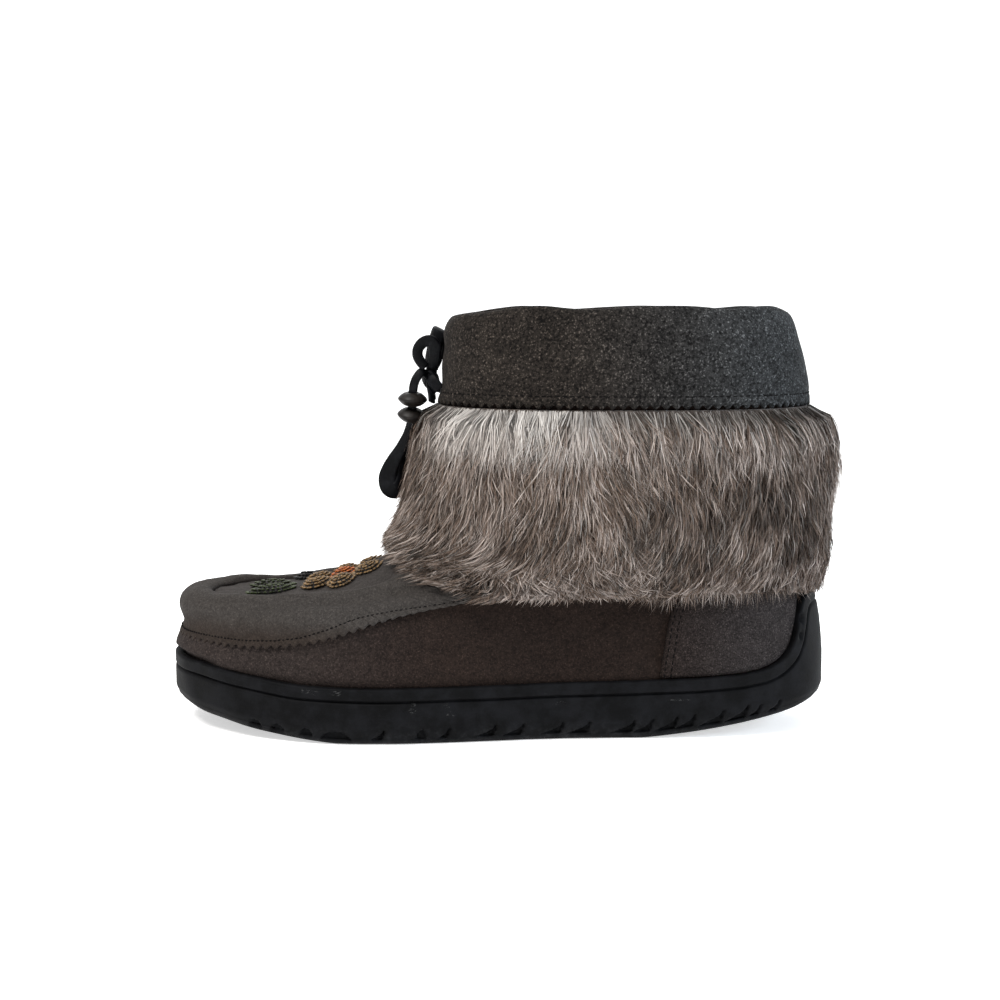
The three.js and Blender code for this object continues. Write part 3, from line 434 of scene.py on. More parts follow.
class Shader:
    def __init__(self, name):
        self.material = bpy.data.materials.new(name)
        self.material.use_nodes = True
        self.tree = self.material.node_tree
        self.tree.nodes.clear()

    def node(self, kind, settings=None, inputs=None, out=0):
        made = self.tree.nodes.new(kind)
        for key, value in (settings or {}).items():
            if key == "stops":
                ramp = made.color_ramp.elements
                while len(ramp) < len(value):
                    ramp.new(0.5)
                for element, (at, colour) in zip(ramp, value):
                    element.position = at
                    element.color = (*colour, 1)
            else:
                setattr(made, key, value)
        for key, value in (inputs or {}).items():
            if isinstance(value, Sock):
                self.tree.links.new(value.socket, made.inputs[key])
            else:
                made.inputs[key].default_value = value
        return Sock(self, made.outputs[out])

    def where(self, stretch=(1, 1, 1)):
        place = self.node("ShaderNodeTexCoord", out=3)
        if stretch == (1, 1, 1):
            return place
        return self.node("ShaderNodeMapping", {}, {0: place, 3: stretch})

    def axis(self, which):
        return self.node("ShaderNodeSeparateXYZ", {}, {0: self.where()}, out=which)

    # Noise whose grains are about size millimetres across
    def noise(self, size, detail=2.0, rough=0.5, stretch=(1, 1, 1), seed=0.0):
        values = {"Vector": self.where(stretch), "Scale": 1 / (size * MM), "Detail": detail,
                  "Roughness": rough, "W": seed}
        return self.node("ShaderNodeTexNoise", {"noise_dimensions": "4D"}, values)

    def cells(self, size):
        return self.node("ShaderNodeTexVoronoi", {}, {"Vector": self.where(), "Scale": 1 / (size * MM)})

    def read(self, name):
        return self.node("ShaderNodeAttribute", {"attribute_name": name}, out=2)

    def blend(self, a, b, factor):
        inputs = {0: factor, 6: opaque(a), 7: opaque(b)}
        return self.node("ShaderNodeMix", {"data_type": "RGBA"}, inputs, out=2)

    def times(self, colour, factor):
        grey = self.node("ShaderNodeCombineColor", {}, {0: factor, 1: factor, 2: factor})
        settings = {"data_type": "RGBA", "blend_type": "MULTIPLY"}
        return self.node("ShaderNodeMix", settings, {0: 1.0, 6: opaque(colour), 7: grey}, out=2)

    def bump(self, height, depth, below=None):
        inputs = {"Height": height, "Distance": depth * MM, "Strength": 1.0}
        if below is not None:
            inputs["Normal"] = below
        return self.node("ShaderNodeBump", {}, inputs)

    def finish(self, colour, roughness, normal=None, **constants):
        bsdf = self.tree.nodes.new("ShaderNodeBsdfPrincipled")
        values = {"Base Color": colour, "Roughness": roughness, "Normal": normal}
        for key, value in {**values, **constants}.items():
            if isinstance(value, Sock):
                self.tree.links.new(value.socket, bsdf.inputs[key])
            elif value is not None:
                bsdf.inputs[key].default_value = (*value, 1) if key == "Base Color" else value
        output = self.tree.nodes.new("ShaderNodeOutputMaterial")
        self.tree.links.new(bsdf.outputs[0], output.inputs[0])
        return self.material


def paint(name):
    return tuple(getattr(bpy.context.scene.boot_colours, name))


# A colour made darker or lighter
def scaled(colour, factor, lift=0.0):
    return tuple(min(1, c * factor + lift) for c in colour)


# A plain colour with its alpha; a socket passes as it is
def opaque(colour):
    return (*colour, 1) if isinstance(colour, tuple) else colour


# Napped suede: a mottled nap, pale fibre specks, and a second tone, low, that gives way to the
# first across an axis, from one place to another in millimetres; the two tones are painted light and shade,
# the one suede lighter where more light falls
def suede(name, colour, speck, grain, contrast, low=None, across=(2, 43, 53)):
    s = Shader(name)
    broad = s.noise(26, 3, 0.6)
    cloudy = s.noise(5, 4, 0.65, seed=1.3)
    nap = s.noise(grain, 3, 0.75, seed=2.1)
    fibre = s.noise(grain * 0.6, 2, 0.6, seed=3.7)
    base = colour
    if low is not None:
        axis, start, end = across
        # Painted light: the blend makes one end of the piece lighter, where more light falls on it
        base = s.blend(low, colour, (s.axis(axis) + cloudy * 0.006).step(start * MM, end * MM))
    shade = (broad * 0.12 + cloudy * 0.18 + nap * 0.7).step(0.36, 0.64)
    tone = s.times(base, shade * (2 * contrast) + (1 - contrast))
    tone = s.times(tone, fibre.step(0.54, 0.68) * (speck * 4) + 1)
    height = nap * 0.55 + fibre * 0.45
    normal = s.bump(height, 0.35, s.bump(cloudy, 0.5))
    return s.finish(tone, 0.86 + 0.14 * cloudy, normal, **{
        "Sheen Weight": 0.02, "Sheen Roughness": 0.4, "Sheen Tint": (0.5, 0.5, 0.52, 1.0),
        "Specular IOR Level": 0.1})


# Scuffs on the rim and the wall below it: x, z, length, height
SCUFFS = (
    (-77, 21.5, 3, 1.2), (-73, 20.8, 2.5, 1), (-64.5, 21, 3, 1.2), (-34.5, 17, 1.5, 1.6),
    (-34.7, 13.9, 2, 1.4), (-21.6, 15.4, 2.2, 1.2), (-20.5, 12, 2.6, 1.6), (24, 15, 3, 1.2),
    (71, 16, 5, 0.6),
)


def rubber(name, colour):
    s = Shader(name)
    haze = s.noise(9, 4, 0.65)
    grain = s.noise(0.6, 2, 0.6, seed=4.0)
    z = s.axis(2)
    dust = (1 - z.step(0.001, 0.012)) * s.noise(3.2, 3, 0.7, seed=5.0).step(0.45, 0.7) * 0.35
    scratch = s.noise(1.1, 3, 0.75, stretch=(0.22, 0.22, 1.0), seed=6.0).step(0.66, 0.74)
    pale = scaled(colour, 4, 0.015)
    tone = s.blend(scaled(colour, 0.45), scaled(colour, 1.9), haze.step(0.35, 0.68))
    tone = s.blend(tone, pale, dust + scratch * 0.22)
    x = s.axis(0)
    mark = 0.0
    for at, up, long, tall in SCUFFS:
        dx, dz = (x - at * MM) / (long * MM), (z - up * MM) / (tall * MM)
        mark = (1 - (dx * dx + dz * dz).step(0.3, 1.0)) + mark
    rub = mark * s.noise(0.7, 3, 0.7, stretch=(0.5, 1, 1.0), seed=8.0).step(0.52, 0.6)
    tone = s.blend(tone, (0.09, 0.09, 0.09), rub * 0.4)
    normal = s.bump(grain, 0.08, s.bump(haze + rub, 0.25))
    return s.finish(tone, 0.5 + 0.22 * haze + 0.12 * grain, normal, **{"Specular IOR Level": 0.08})


# Hair: painted shade at its root, darkened where the coat shades itself, with a tone and a share of pale hair
# that each hair carries itself
def fur_hair(name, colour):
    s = Shader(name)
    along = s.read("along")
    tone = s.read("tone")
    pale = s.read("pale")
    shade = s.node("ShaderNodeValToRGB", {"stops": [
        (0.0, scaled(colour, 0.12)), (0.3, scaled(colour, 0.5)), (0.62, colour),
        (1.0, scaled(colour, 1.3, 0.205))]}, {0: tone})
    # Painted shade: each hair darkens towards its root, deep in the coat where light does not reach
    shade = s.blend(shade, scaled(colour, 0.1), (1 - along.step(0.05, 0.75)) * 0.9)
    shade = s.blend(shade, (0.62, 0.59, 0.56), pale)
    return s.finish(shade, 0.55, None, **{"Specular IOR Level": 0.2})


def plain_nap(name, colour, size, deep):
    s = Shader(name)
    lump = s.noise(size, 4, 0.7)
    tone = s.blend(scaled(colour, 0.6), scaled(colour, 1.3), lump.step(0.3, 0.7))
    return s.finish(tone, 0.95, s.bump(lump, deep), **{"Sheen Weight": 0.4, "Specular IOR Level": 0.15})


def cord_leather(name, colour):
    s = Shader(name)
    grain = s.cells(0.5)
    haze = s.noise(3.5, 3, 0.6)
    tone = s.blend(colour, scaled(colour, 2.4, 0.004), haze.step(0.42, 0.75))
    return s.finish(tone, 0.38 + 0.25 * haze, s.bump(grain, 0.06, s.bump(haze, 0.2)), **{
        "Specular IOR Level": 0.1})


def polished_wood(name, colour):
    s = Shader(name)
    grain = s.noise(1.6, 4, 0.6, stretch=(1, 1, 0.25))
    tone = s.blend(scaled(colour, 0.5), scaled(colour, 1.8), grain.step(0.35, 0.7))
    return s.finish(tone, 0.4 + 0.2 * grain, s.bump(grain, 0.05), **{"Specular IOR Level": 0.22})


def glazed(name, colour):
    s = Shader(name)
    odd = s.cells(1.7)
    patch = s.noise(1.6, 3, 0.7).step(0.38, 0.62)
    tone = s.blend(scaled(colour, 0.3), scaled(colour, 1.8), patch)
    return s.finish(tone, 0.3 + 0.2 * odd, None, **{"Specular IOR Level": 0.25})


def thread(name, colour):
    s = Shader(name)
    twist = s.noise(0.35, 2, 0.5)
    tone = s.blend(scaled(colour, 0.5), scaled(colour, 1.6), twist)
    return s.finish(tone, 0.85, s.bump(twist, 0.1), **{"Specular IOR Level": 0.08})


# Repeats made by Geometry Nodes
class Tree:
    """A Geometry Nodes tree with named inputs, ending in Realize Instances and Set Material."""

    def __init__(self, name, inputs):
        self.group = bpy.data.node_groups.new(name, "GeometryNodeTree")
        face = self.group.interface
        face.new_socket("Geometry", in_out="INPUT", socket_type="NodeSocketGeometry")
        for label, kind, value in inputs:
            made = face.new_socket(label, in_out="INPUT", socket_type=kind)
            if value is not None:
                made.default_value = value
        face.new_socket("Material", in_out="INPUT", socket_type="NodeSocketMaterial")
        face.new_socket("Geometry", in_out="OUTPUT", socket_type="NodeSocketGeometry")
        self.start = self.group.nodes.new("NodeGroupInput")

    def given(self, label):
        return self.start.outputs[label]

    def node(self, kind, settings=None, inputs=None, out=0):
        made = self.group.nodes.new(kind)
        for key, value in (settings or {}).items():
            setattr(made, key, value)
        for key, value in (inputs or {}).items():
            if isinstance(value, bpy.types.NodeSocket):
                self.group.links.new(value, made.inputs[key])
            else:
                made.inputs[key].default_value = value
        return made.outputs[out]

    def vector_named(self, name):
        settings = {"data_type": "FLOAT_VECTOR"}
        return self.node("GeometryNodeInputNamedAttribute", settings, {"Name": name})

    # Rotation that turns Z to the point's facing and X along the given direction
    def turned(self, along):
        facing = self.vector_named("facing")
        up = self.node("FunctionNodeAlignRotationToVector", {"axis": "Z"}, {"Vector": facing})
        settings = {"axis": "X", "pivot_axis": "Z"}
        return self.node("FunctionNodeAlignRotationToVector", settings, {"Rotation": up, "Vector": along})

    def end(self, instances):
        real = self.node("GeometryNodeRealizeInstances", {}, {"Geometry": instances})
        shaded = self.node("GeometryNodeSetShadeSmooth", {}, {"Geometry": real})
        inputs = {"Geometry": shaded, "Material": self.given("Material")}
        done = self.node("GeometryNodeSetMaterial", {}, inputs)
        last = self.group.nodes.new("NodeGroupOutput")
        self.group.links.new(done, last.inputs[0])
        return self.group


# A random size for each instance, from the tree's own seed
def size_jitter(tree, low, high):
    inputs = {2: low, 3: high, "Seed": tree.given("Seed")}
    return tree.node("FunctionNodeRandomValue", {"data_type": "FLOAT"}, inputs, out=1)


def stitch_tree():
    tree = Tree("Stitches", (
        ("Pitch", "NodeSocketFloat", 2.4 * MM), ("Length", "NodeSocketFloat", 1.7 * MM),
        ("Thickness", "NodeSocketFloat", 0.55 * MM), ("Seed", "NodeSocketInt", 1)))
    line = tree.node("GeometryNodeMeshToCurve", {}, {"Mesh": tree.given("Geometry")})
    spaced = {"Curve": line, "Length": tree.given("Pitch")}
    points = tree.node("GeometryNodeResampleCurve", {"mode": "LENGTH"}, spaced)
    grain = tree.node("GeometryNodeMeshUVSphere", {}, {"Segments": 8, "Rings": 5, "Radius": 0.5})
    jitter = size_jitter(tree, 0.85, 1.12)
    long = tree.node("ShaderNodeMath", {"operation": "MULTIPLY"}, {0: tree.given("Length"), 1: jitter})
    size = tree.node("ShaderNodeCombineXYZ", {}, {
        "X": long, "Y": tree.given("Thickness"), "Z": tree.given("Thickness")})
    along = tree.node("GeometryNodeInputTangent")
    placed = tree.node("GeometryNodeInstanceOnPoints", {}, {
        "Points": points, "Instance": grain, "Rotation": tree.turned(along), "Scale": size})
    return tree.end(placed)


def seed_bead_tree():
    tree = Tree("Seed beads", (("Size", "NodeSocketFloat", 1.8 * MM), ("Seed", "NodeSocketInt", 1)))
    points = tree.node("GeometryNodeMeshToPoints", {}, {"Mesh": tree.given("Geometry")})
    ring = tree.node("GeometryNodeCurvePrimitiveCircle", {}, {"Resolution": 7, "Radius": 0.29})
    tube = tree.node("GeometryNodeCurvePrimitiveCircle", {}, {"Resolution": 5, "Radius": 0.22})
    bead = tree.node("GeometryNodeCurveToMesh", {}, {"Curve": ring, "Profile Curve": tube})
    jitter = size_jitter(tree, 0.86, 1.1)
    size = tree.node("ShaderNodeMath", {"operation": "MULTIPLY"}, {0: tree.given("Size"), 1: jitter})
    placed = tree.node("GeometryNodeInstanceOnPoints", {}, {
        "Points": points, "Instance": bead, "Rotation": tree.turned(tree.vector_named("along")),
        "Scale": size})
    return tree.end(placed)


# Runs a tree on a mesh of points or lines, and keeps the result as a plain mesh
def grown(name, points, edges, vectors, group, material, **inputs):
    mesh = bpy.data.meshes.new(name)
    mesh.from_pydata([tuple(p) for p in np.asarray(points) * MM], edges, [])
    for key, values in vectors.items():
        layer = mesh.attributes.new(key, "FLOAT_VECTOR", "POINT")
        layer.data.foreach_set("vector", np.asarray(values, np.float32).ravel())
    piece = bpy.data.objects.new(name, mesh)
    bpy.context.scene.collection.objects.link(piece)
    modifier = piece.modifiers.new(name, "NODES")
    modifier.node_group = group
    wanted = {**inputs, "Material": material}
    for item in group.interface.items_tree:
        if item.item_type == "SOCKET" and item.in_out == "INPUT" and item.name in wanted:
            modifier[item.identifier] = wanted[item.name]
    ready = piece.evaluated_get(bpy.context.evaluated_depsgraph_get())
    made = bpy.data.meshes.new_from_object(ready)
    piece.modifiers.remove(modifier)
    piece.data = made
    if not made.materials:
        made.materials.append(material)
    return piece


# Several runs of stitches as one piece
def stitch_rows(name, runs, material, pitch, length, thickness):
    points, edges, facing = [], [], []
    for line, normals in runs:
        base = sum(len(p) for p in points)
        points.append(line)
        facing.append(normals)
        edges += [(base + i, base + i + 1) for i in range(len(line) - 1)]
    group = bpy.data.node_groups.get("Stitches") or stitch_tree()
    return grown(name, np.vstack(points), edges, {"facing": np.vstack(facing)}, group, material,
                 Pitch=pitch * MM, Length=length * MM, Thickness=thickness * MM, Seed=SEED)


# The lace: the frame's own routes, in metres
ROUTES = {
    "lace_loop_front": (
        (-0.0311, -0.0039, 0.1472), (-0.0329, -0.0046, 0.1493), (-0.0342, -0.0052, 0.152),
        (-0.0339, -0.0056, 0.155), (-0.0317, -0.0057, 0.1575), (-0.0289, -0.0056, 0.158),
        (-0.0273, -0.0052, 0.156), (-0.0271, -0.0046, 0.1528), (-0.0275, -0.0039, 0.1496),
        (-0.0285, -0.0026, 0.1474),
    ),
    "lace_loop_back": (
        (-0.0289, 0.0019, 0.1467), (-0.0287, 0.0045, 0.1496), (-0.0279, 0.006, 0.154),
        (-0.0269, 0.0066, 0.158), (-0.0259, 0.0082, 0.1614), (-0.0253, 0.011, 0.1622),
        (-0.0255, 0.0133, 0.16), (-0.0261, 0.0136, 0.1556), (-0.0271, 0.012, 0.151),
        (-0.0283, 0.0086, 0.1472), (-0.0295, 0.0054, 0.1449),
    ),
    "lace_end_near": (
        (-0.0324, -0.004, 0.1454), (-0.0345, -0.0048, 0.1432), (-0.0357, -0.005, 0.1404),
        (-0.0362, -0.0048, 0.1374), (-0.0364, -0.0044, 0.1342), (-0.0366, -0.004, 0.131),
        (-0.0368, -0.0034, 0.1276), (-0.0373, -0.0026, 0.1242), (-0.0383, -0.0014, 0.1208),
        (-0.0398, 0.0, 0.1172), (-0.0418, 0.0012, 0.113), (-0.0444, 0.0022, 0.1086),
        (-0.0465, 0.0028, 0.1042), (-0.0475, 0.003, 0.1), (-0.0465, 0.0032, 0.0966),
        (-0.0441, 0.0036, 0.0956), (-0.0421, 0.0042, 0.0976), (-0.0413, 0.0048, 0.1016),
        (-0.0409, 0.005, 0.1062), (-0.0403, 0.005, 0.1106), (-0.0397, 0.0048, 0.1142),
    ),
    "lace_end_far": (
        (-0.0312, 0.0046, 0.1412), (-0.0318, 0.008, 0.1406), (-0.0316, 0.0124, 0.1398),
        (-0.0306, 0.0176, 0.1388), (-0.0288, 0.0232, 0.1378), (-0.0268, 0.029, 0.1368),
        (-0.025, 0.0354, 0.1354), (-0.024, 0.041, 0.1328), (-0.0238, 0.0444, 0.129),
        (-0.0239, 0.0458, 0.1246), (-0.0241, 0.0462, 0.1202), (-0.0242, 0.0464, 0.116),
        (-0.0242, 0.0466, 0.1114), (-0.0246, 0.0474, 0.1068), (-0.0256, 0.048, 0.1022),
        (-0.0254, 0.0482, 0.0984), (-0.0234, 0.0488, 0.0966), (-0.021, 0.05, 0.0982),
        (-0.0202, 0.0508, 0.1022), (-0.0204, 0.0506, 0.1066), (-0.0206, 0.0502, 0.1104),
    ),
}
# Each lace is one strip: a loop, its way through the knot, and a hanging end. Widths in
# millimetres and turns in radians are spread over its length
LACES = {
    "lace_near": {
        "routes": ("lace_loop_front", "lace_end_near"),
        "through": ((-0.0288, -0.0006, 0.1446), (-0.0303, -0.0014, 0.1437)),
        "widths": (4.0, 4.6, 5.2, 4.4, 3.8, 3.8, 3.6, 3.8, 5.6, 7.4, 7.4, 5.4, 4.6),
        "turns": (0.2, 0.2, 0.1, 0.1, 0.1, 0.1, 0.1, 0.1, 0.0, 0.0, 0.0, 0.1, 0.3),
    },
    "lace_far": {
        "routes": ("lace_loop_back", "lace_end_far"),
        "through": ((-0.0299, 0.0028, 0.1432), (-0.0305, 0.0026, 0.1420)),
        "widths": (6.0, 6.4, 6.4, 6.4, 5.0, 3.4, 3.4, 3.4, 3.4, 4.6, 6.4, 5.4, 4.6),
        "turns": (0.3, 0.2, 0.2, 0.3, 0.5, 0.5, 0.5, 0.5, 0.4, 0.3, 0.2, 0.2, 0.3),
    },
}
KNOT = (-28.9, 0.0, 142.4)
LACE_THICK = 1.5
BEADS_ON_LACE = (
    ("lace_bead_1", "lace_end_near", 4), ("lace_bead_2", "lace_end_near", 6),
    ("lace_bead_3", "lace_end_far", 9), ("lace_bead_4", "lace_end_far", 10.5),
)
# Half of a bead's outline: radius, height
BEAD_PROFILE = ((1.9, 2.5), (2.6, 2.8), (3.6, 2.45), (4.8, 1.6), (5.65, 0.75), (6.0, 0.15))


# A strip with a softly rounded section, swept along a line; its turns set how it lies
def strip(points, widths, thick, turns=(0.0,), closed=False, sides=12):
    points = np.asarray(points, float)
    count = len(points)
    if closed:
        tangent = np.roll(points, -1, axis=0) - np.roll(points, 1, axis=0)
    else:
        tangent = np.gradient(points, axis=0)
    tangent /= np.linalg.norm(tangent, axis=1, keepdims=True)
    side = np.cross(tangent[0], [0.0, 1.0, 0.13])
    sides_along = []
    for along in tangent:
        side = side - along * side.dot(along)
        side /= np.linalg.norm(side)
        sides_along.append(side)
    side = np.array(sides_along)
    over = np.cross(tangent, side)
    share = np.linspace(0, 1, count)
    angle = np.interp(share, np.linspace(0, 1, len(turns)), turns)[:, None]
    wide = side * np.cos(angle) + over * np.sin(angle)
    thin = np.cross(tangent, wide)
    a = 2 * np.pi * np.arange(sides) / sides
    round_x = np.sign(np.cos(a)) * np.abs(np.cos(a)) ** 0.7
    round_y = np.sign(np.sin(a)) * np.abs(np.sin(a)) ** 0.7
    half = np.interp(share, np.linspace(0, 1, len(widths)), widths)[:, None, None] / 2
    ring = points[:, None] + wide[:, None] * round_x[None, :, None] * half
    ring = ring + thin[:, None] * round_y[None, :, None] * thick / 2
    return loft(ring.transpose(1, 0, 2), wrap_cols=closed)


def lace_material():
    made = bpy.data.materials.get("lace_leather")
    return made or cord_leather("lace_leather", paint("lace"))


def build_lace():
    leather = lace_material()
    wood = polished_wood("bead_wood", paint("wood"))
    knot = lace_knot(leather)
    beads = {name: lace_bead(name, route, at, wood) for name, route, at in BEADS_ON_LACE}
    for name, lace in LACES.items():
        first, last = lace["routes"]
        route = np.array(ROUTES[first] + lace["through"] + ROUTES[last]) / MM
        line = Ruler(spline(route, np.linspace(0, 1, 600)))(np.linspace(0, 1, 170))
        points, faces = strip(line, lace["widths"], LACE_THICK, lace["turns"])
        cord = settle(piece_of(f"{name}_strip", points, faces, leather), "lace", first, last)
        on_it = [beads[bead] for bead, carrier, _ in BEADS_ON_LACE if carrier == last]
        if name == "lace_near":
            on_it.append(knot)
        tuple(line[0] * MM)
        [tuple(p * MM) for p in line]
    lace_straps(leather)


def lace_bead(name, route, at, wood):
    share = at / (len(ROUTES[route]) - 1)
    here, ahead = spline(np.array(ROUTES[route]) / MM, [share, share + 0.01])
    up = (here - ahead) / np.linalg.norm(here - ahead)
    side = np.cross(up, [0.2, 1.0, 0.0])
    side /= np.linalg.norm(side)
    over = np.cross(up, side)
    profile = [(1.9, -1.2), *[(r, -z) for r, z in BEAD_PROFILE], *BEAD_PROFILE[::-1], (1.9, 1.2)]
    angle = 2 * np.pi * np.arange(40) / 40
    around = [side * math.cos(a) + over * math.sin(a) for a in angle]
    rows = [[here + up * z + out * r for out in around] for r, z in profile]
    points, faces = loft(rows, wrap_cols=True)
    return settle(piece_of(f"{name}_turned", points, faces, wood), "dark_bead", name)


# The knot: a lace wrapped twice round itself, with a cut tail
def lace_knot(leather):
    centre = np.array(KNOT)
    turn = np.linspace(0, 2 * np.pi, 41)[:-1]
    wraps = ((3.5, 3.3, 0.35, -0.4, 0.5), (3.3, 3.7, -0.55, 0.5, -0.4), (2.6, 3.2, 1.2, 0.1, 0.2))
    parts = []
    for wide, tall, roll, tilt, shift in wraps:
        flat = np.stack([wide * 0.75 * np.cos(turn), np.zeros(40), tall * np.sin(turn)], -1)
        spin = Matrix.Rotation(roll, 3, "Z") @ Matrix.Rotation(tilt, 3, "X")
        line = flat @ np.array(spin).T + centre + [0, shift, 0]
        parts.append(strip(line, (3.0, 3.2, 3.0), LACE_THICK, (1.5,), closed=True, sides=10))
    tail = [(-29.2, -2.6, 143.4), (-28.2, -3.8, 141.8), (-26.8, -4.4, 139.8), (-25.4, -4.6, 137.9)]
    parts.append(strip(spline(tail, np.linspace(0, 1, 14)), (4.2, 5.0, 5.2), LACE_THICK, (0.1, 0.2)))
    parts.append(ball(centre + [-0.6, 0, 0.6], (3.1, 3.0, 3.8)))
    return settle(piece_of("lace_knot_wraps", *joined(parts), leather), "lace", "lace_knot")


# Several meshes as one
def joined(parts):
    starts = np.cumsum([0] + [len(points) for points, _ in parts])
    faces = [part_faces + start for (_, part_faces), start in zip(parts, starts)]
    return np.vstack([points for points, _ in parts]), np.vstack(faces)


def ball(centre, radii, rows=10, cols=16):
    lat = np.linspace(-np.pi / 2 + 0.05, np.pi / 2 - 0.05, rows)
    lon = 2 * np.pi * np.arange(cols) / cols
    lat, lon = np.meshgrid(lat, lon, indexing="ij")
    ball = np.stack([np.cos(lat) * np.cos(lon), np.cos(lat) * np.sin(lon), np.sin(lat)], -1) * radii + centre
    return ball.reshape(-1, 3), grid_faces(rows, cols, wrap_cols=True)


def lace_straps(leather):
    parts = []
    for side in (-1, 1):
        route = [(-28.4, side * 6.4, 133.2), (-28.7, side * 4.4, 135.8), (-29.4, side * 1.2, 138.6)]
        parts.append(strip(spline(route, np.linspace(0, 1, 14)), (3.4, 3.4), LACE_THICK, (0.9,)))
    return settle(piece_of("lace_strap_strips", *joined(parts), leather), "lace", "lace_straps")


# The stage: a pale floor that sweeps up, soft lights and the photo's viewpoint
def build_stage():
    scene = bpy.context.scene
    studio = scene.boot_studio
    s = Shader("studio_floor")
    pale = s.finish((0.9, 0.9, 0.9), 0.9, None, **{
        "Specular IOR Level": 0.1, "Emission Color": (1.0, 1.0, 1.0, 1.0), "Emission Strength": 0.55})
    near, far, half, radius = -3.0, 1.6, 4.0, 1.2
    bend = [(far + radius * math.sin(a), radius * (1 - math.cos(a))) for a in np.linspace(0, math.pi / 2, 13)]
    line = [(near, 0.0), *bend, (far + radius, 4.0)]
    points = [(x, y, z) for y, z in line for x in (-half, half)]
    faces = [(2 * i, 2 * i + 1, 2 * i + 3, 2 * i + 2) for i in range(len(line) - 1)]
    floor = piece_of("studio_sweep", np.array(points) / MM, faces, pale, closed=False)
    world = bpy.data.worlds.new("studio")
    world.use_nodes = True
    world.node_tree.nodes["Background"].inputs[0].default_value = (1, 1, 1, 1)
    world.node_tree.nodes["Background"].inputs[1].default_value = studio.fill
    scene.world = world
    lights = (
        ("key", (-0.6, -0.6, 1.3), 0.6, studio.key, (1.0, 0.98, 0.95)),
        ("side", (1.1, -0.45, 0.5), 0.6, studio.key * 0.5, (0.78, 0.89, 1.0)),
        ("back", (0.1, 0.9, 1.1), 1.0, studio.key * 0.3, (1.0, 1.0, 1.0)),
    )
    for name, place, size, power, shade in lights:
        lamp = bpy.data.lights.new(name, "AREA")
        lamp.shape = "DISK"
        lamp.size = size
        lamp.energy = power
        lamp.color = shade
        holder = bpy.data.objects.new(name, lamp)
        holder.location = place
        aim = Vector((0, 0, 0.07)) - Vector(place)
        holder.rotation_euler = aim.to_track_quat("-Z", "Y").to_euler()
        scene.collection.objects.link(holder)
    scene.view_settings.view_transform = "Standard"


def place_camera():
    scene = bpy.context.scene
    studio = scene.boot_studio
    data = bpy.data.cameras.new("photo_view")
    data.lens = studio.lens
    data.sensor_width = 36
    camera = bpy.data.objects.new("photo_view", data)
    camera.location = (studio.aside, -studio.distance, studio.height)
    camera.rotation_euler = (math.pi / 2 - studio.pitch, 0, 0)
    scene.collection.objects.link(camera)
    scene.camera = camera


# Outsole
SOLE_COLUMNS = 860
TREAD_COLUMNS = 44
# Recesses in the wall: x of the tip, width at the foot, lean of the tip, foot and tip above the bottom
NOTCHES = (
    (-98.9, 5, -0.6, 2.0, 5.0), (-89.6, 6, -0.9, 2.0, 5.0), (-77.5, 5, -0.7, 2.0, 5.5),
    (-65.7, 12, 0.0, 2.0, 5.5), (-46.2, 5, 0.4, 2.2, 5.8), (-31.4, 4, 0.0, 2.2, 6.0),
    (-20.4, 4.5, 0.3, 2.4, 6.2), (-2.1, 8, 1.0, 2.6, 6.8),
    (8.8, 8, 1.0, 2.6, 6.8), (24.8, 8.5, 1.1, 2.8, 7.2), (35.4, 8.5, 1.1, 2.8, 7.2), (53.3, 9, 1.1, 2.8, 7.4),
    (60.4, 8, 1.1, 2.8, 7.4), (70.2, 9, 1.1, 2.8, 7.4), (77.3, 8, 1.1, 2.8, 7.4), (88.9, 10, 1.2, 2.6, 7.4),
    (98.8, 9, 1.2, 2.6, 7.4), (104.2, 5, 0.2, 2.6, 6.6), (112.2, 5.5, 0.3, 2.6, 6.6),
)
NOTCH_DEPTH = 2.6
# Rows of the wall's rounded foot: inset and height above the bottom; then heights of the rows
# that carry the notches
FOOT_PROFILE = ((4.0, 0.0), (2.6, 0.25), (1.6, 0.9), (0.95, 1.8), (0.7, 2.4))
NOTCH_ROWS = (2.8, 3.2, 3.7, 4.3, 4.9, 5.5, 6.0, 6.5, 7.0, 7.5, 8.0)
# Chevron grooves of the tread, left out across the waist
GROOVE = {"pitch": 17, "first": -110, "last": 110, "width": 3.2, "length": 25, "depth": 2.5, "angle": 0.45}
WAIST = {"x": 12, "reach": 24}
# Rows of the rim: distance below its edge, and inset from the outline
RIM_PROFILE = (
    (7.0, 0.0), (6.4, 0.05), (5.95, 0.35), (5.65, 1.2), (5.25, 1.5), (4.9, 1.2), (4.65, 0.1), (4.3, -0.45),
    (3.7, -0.75), (2.8, -0.9), (1.9, -0.85), (1.1, -0.6), (0.5, -0.25), (0.12, 0.35), (0.0, 0.95),
    (0.0, 2.2), (0.15, 3.3), (0.6, CUP_WALL),
)
# Moulded slots in the bumper: x, z, width, height
SLOTS = ((123.6, 46.1, 1.3, 2.8), (121.9, 39.6, 1.3, 2.6))
SLOT_DEPTH = 3.0


def side_of(q):
    turn = np.asarray(q, float) % 2
    outer = turn <= 1
    return outer, np.where(outer, turn, 2 - turn), np.where(outer, OUTER_SIDE.length, INNER_SIDE.length)


def rim_top(x):
    spread = np.linspace(-3.5, 3.5, 8)
    return np.mean([table_at(RIM_TOP, x + d) for d in spread], axis=0)


def rim_edge(q):
    outer, share, length = side_of(q)

    def edge(h):
        x = outline_at(np.where(outer, h, 2 - h))[..., 0]
        return np.stack([h * length, rim_top(x)], -1)

    along = edge(np.minimum(1, share + 0.012)) - edge(np.maximum(0, share - 0.012))
    along /= np.linalg.norm(along, axis=-1, keepdims=True)
    return edge(share), np.stack([along[..., 1], -along[..., 0]], -1)


def back_round(q, reach):
    outer, _, length = side_of(q)
    share = np.clip(reach / length, 0, 1)
    return np.where(outer, share, (2 - share) % 2)


